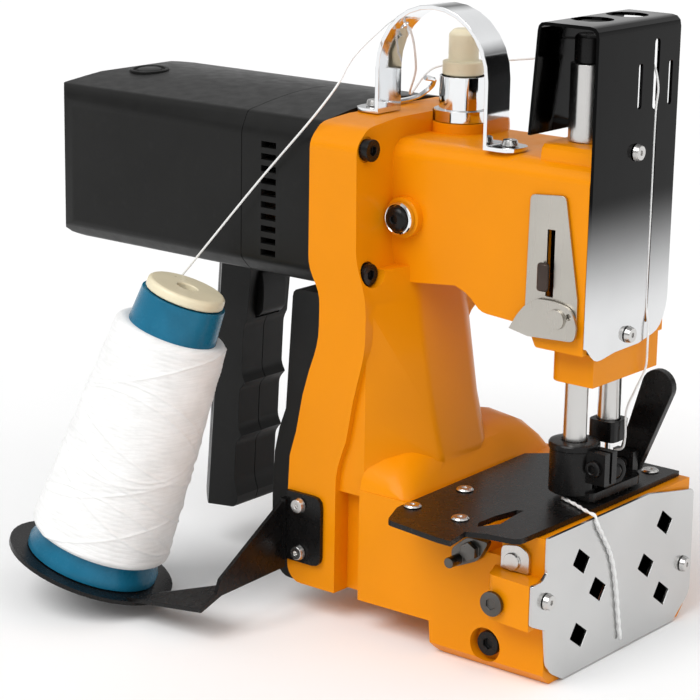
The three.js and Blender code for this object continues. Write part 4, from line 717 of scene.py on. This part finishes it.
# places and sizes in millimetres; a profile is a list of (radius, height) pairs
NEAR = (0, -1, 0)
PLUG_PLACE = (-57.3, -29.8, 156.3)
PLUG_RING = [
    (0, 0), (6.1, 0), (6.2, 0.2), (6.2, 1.9), (5.9, 2.4), (5.4, 2.6), (5.1, 2.4), (4.95, 1.8), (0, 1.8),
]
PLUG_DOME = [
    (0, 1.85), (4.85, 1.85), (4.85, 2.6), (4.6, 3.3), (4.0, 3.9), (3.1, 4.3), (2.2, 4.5), (1.7, 4.55),
    (1.5, 4.3), (1.5, 3.4), (0, 3.4),
]
KNOB_LOW = (3.7, -31.1, 138.9)
KNOB_HIGH = (8.2, -28.4, 149.3)
BLOCK_ROUNDING = 1.2
ROOF_CAP = [
    (0, -1), (8.1, -1), (8.1, 0.5), (7.8, 0.8), (7.1, 0.9), (6.6, 0.7), (6.3, 0.1), (5.6, -0.1), (5.2, 0.1),
    (4.9, 0.6), (4.4, 0.8), (0, 0.85),
]
ROOF_CAP_PLACE = (-202, -10, 193.7)
ROOF_CAP_AXIS = (0, -0.05, 1)
FOOT_BOSS = [
    (0, 0), (5.0, 0), (5.2, 0.3), (5.2, 3.2), (4.8, 3.8), (4.2, 4.0), (3.2, 4.0), (3.0, 3.7), (3.0, 3.3),
    (2.6, 3.3), (2.4, 4.3), (1.9, 4.6), (0, 4.6),
]
FOOT_BOSS_PLACE = (15.6, 4.4, 67.3)
FOOT_BOSS_AXIS = (0.94, -0.34, 0)
CLAMP_SCREW = [
    (0, -0.2), (3.0, -0.2), (3.1, 0.1), (3.1, 1.2), (2.7, 1.7), (1.9, 1.8), (1.6, 1.6), (1.5, 0.6), (0, 0.6),
]
CLAMP_SCREW_PLACE = (19.4, -12, 72)
CLAMP_COLLAR = [
    (4.7, 77.2), (9.3, 77.2), (9.5, 77.5), (9.5, 79.1), (9.1, 79.6), (8.0, 79.9), (5.2, 79.9), (4.7, 79.4),
    (4.7, 77.2),
]
CLAMP_COLLAR_PLACE = (8, -8, 0)
FOOT_ARM_LOW = (14.9, -3.5, 61.6)
FOOT_ARM_HIGH = (19.2, 8.6, 66.5)


def access_plug():
    """The plug in the column: a chromed ring round a black domed screw."""
    ring = lathe("access_plug_ring", PLUG_RING, PLUG_PLACE, NEAR, SURFACES["chrome"])
    dome = lathe("access_plug_dome", PLUG_DOME, PLUG_PLACE, NEAR, SURFACES["black_metal"])
    for piece, slot in ((ring, "steel"), (dome, "black_metal")):
        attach(piece, "frame")
    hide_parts("access_plug")


def slide_tab_knob():
    """The sliding tab's knob, which stands in front of the side plate's slot."""
    knob = rounded_block("slide_tab_knob", KNOB_LOW, KNOB_HIGH, BLOCK_ROUNDING, TAB_METAL)
    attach(knob, "slide_tab")
    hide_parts("slide_tab")


def roof_cap():
    """The round cap let into the roof of the motor housing."""
    cap = lathe("motor_roof_cap", ROOF_CAP, ROOF_CAP_PLACE, ROOF_CAP_AXIS, SURFACES["black_plastic"])
    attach(cap, "frame")


access_plug()
slide_tab_knob()
roof_cap()

# the presser bar's coil spring, in metres
COIL_CENTRE = (0.008, -0.008)
COIL_LOW = 0.146
COIL_HIGH = 0.179
COIL_RADIUS = 0.0058
COIL_WIRE = 0.0014
COIL_TURNS = 8
COIL_STEPS = 40
COIL_SIDES = 10


def presser_spring():
    """The coil spring on the presser bar. The real spring shortens as the bar is lifted; this one keeps one
    length.
    """
    x, y = COIL_CENTRE
    path = []
    for step in range(COIL_TURNS * COIL_STEPS + 1):
        angle = math.tau * step / COIL_STEPS
        rise = (COIL_HIGH - COIL_LOW) * step / (COIL_TURNS * COIL_STEPS)
        path.append(
            Vector((x + COIL_RADIUS * math.cos(angle), y + COIL_RADIUS * math.sin(angle), COIL_LOW + rise))
        )
    spring = plied_tube("presser_spring_coil", path, COIL_WIRE, 1, 1.0, 0.0, SURFACES["steel"], COIL_SIDES)
    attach(spring, "frame")
    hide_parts("presser_spring")
    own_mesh(spring)


def foot_details():
    """What is fastened to the presser foot: its pivot boss, clamp screw, clamp collar and arm."""
    black = SURFACES["black_metal"]
    for piece in (
        lathe("foot_pivot_boss", FOOT_BOSS, FOOT_BOSS_PLACE, FOOT_BOSS_AXIS, black),
        lathe("foot_clamp_screw", CLAMP_SCREW, CLAMP_SCREW_PLACE, NEAR, black),
        lathe("foot_clamp_collar", CLAMP_COLLAR, CLAMP_COLLAR_PLACE, (0, 0, 1), black),
        rounded_block("foot_arm", FOOT_ARM_LOW, FOOT_ARM_HIGH, BLOCK_ROUNDING, black),
    ):
        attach(piece, "presser")


presser_spring()
foot_details()


# ---------------------------------------------------------------- floor and light
FLOOR_RADIUS = 6.0
FLOOR_SIDES = 96
FLOOR_GAP = 0.0002
ROOM_GREY = 0.93


def floor_material():
    """Pale matt paper."""
    material, tree, shader = new_material("floor_paper")
    place = place_source(tree)
    tone = ramp(tree, noise(tree, place, 6, 4), [(NOISE_LOW, grey(0.95)), (NOISE_HIGH, grey(0.97))])
    tree.links.new(tone, shader.inputs["Base Color"])
    shader.inputs["Roughness"].default_value = 0.85
    shader.inputs["Specular IOR Level"].default_value = 0.1
    return material


def make_floor():
    """A wide round floor just under the object."""
    made = bmesh.new()
    bmesh.ops.create_circle(made, cap_ends=True, segments=FLOOR_SIDES, radius=FLOOR_RADIUS)
    data = bpy.data.meshes.new("floor")
    made.to_mesh(data)
    made.free()
    floor = bpy.data.objects.new("floor", data)
    floor.location.z = min(0.0, cad_box[0][2]) - FLOOR_GAP
    scene.collection.objects.link(floor)
    data.materials.append(floor_material())


def make_sun(name, source, strength, spread):
    """Soft light from the direction of source; spread is how wide the sky patch is, in degrees."""
    data = bpy.data.lights.new(name, "SUN")
    data.energy = strength
    data.angle = math.radians(spread)
    light = bpy.data.objects.new(name, data)
    scene.collection.objects.link(light)
    light.matrix_world = Vector(source).to_track_quat("Z", "Y").to_matrix().to_4x4()


def make_world():
    """A plain pale room for the camera, with softer and darker bands for the metal to mirror."""
    world = bpy.data.worlds.new("studio")
    scene.world = world
    world.use_nodes = True
    tree = world.node_tree
    background = tree.nodes["Background"]
    direction = tree.nodes.new("ShaderNodeTexCoord").outputs["Generated"]
    split = add_node(tree, "ShaderNodeSeparateXYZ", [("Vector", direction)])
    height = add_node(
        tree, "ShaderNodeMapRange", [("Value", split.outputs["Z"])], in_From_Min=-1.0, in_From_Max=1.0
    )
    bands = ramp(
        tree,
        height.outputs["Result"],
        [(0.0, grey(0.8)), (0.5, grey(0.95)), (0.58, grey(0.5)), (0.66, grey(0.22)), (0.74, grey(0.9)),
         (0.86, grey(0.75)), (0.93, grey(0.3)), (1.0, grey(0.5))],
    )
    seen = tree.nodes.new("ShaderNodeLightPath").outputs["Is Camera Ray"]
    tree.links.new(mixed(tree, "MIX", seen, bands, grey(ROOM_GREY)), background.inputs["Color"])
    background.inputs["Strength"].default_value = 1.0


scene.view_settings.view_transform = "Standard"
make_floor()
make_world()
make_sun("key", (-0.1, -0.8, 1.0), 1.7, 40)
make_sun("side", (1.0, -0.5, 0.8), 0.55, 60)
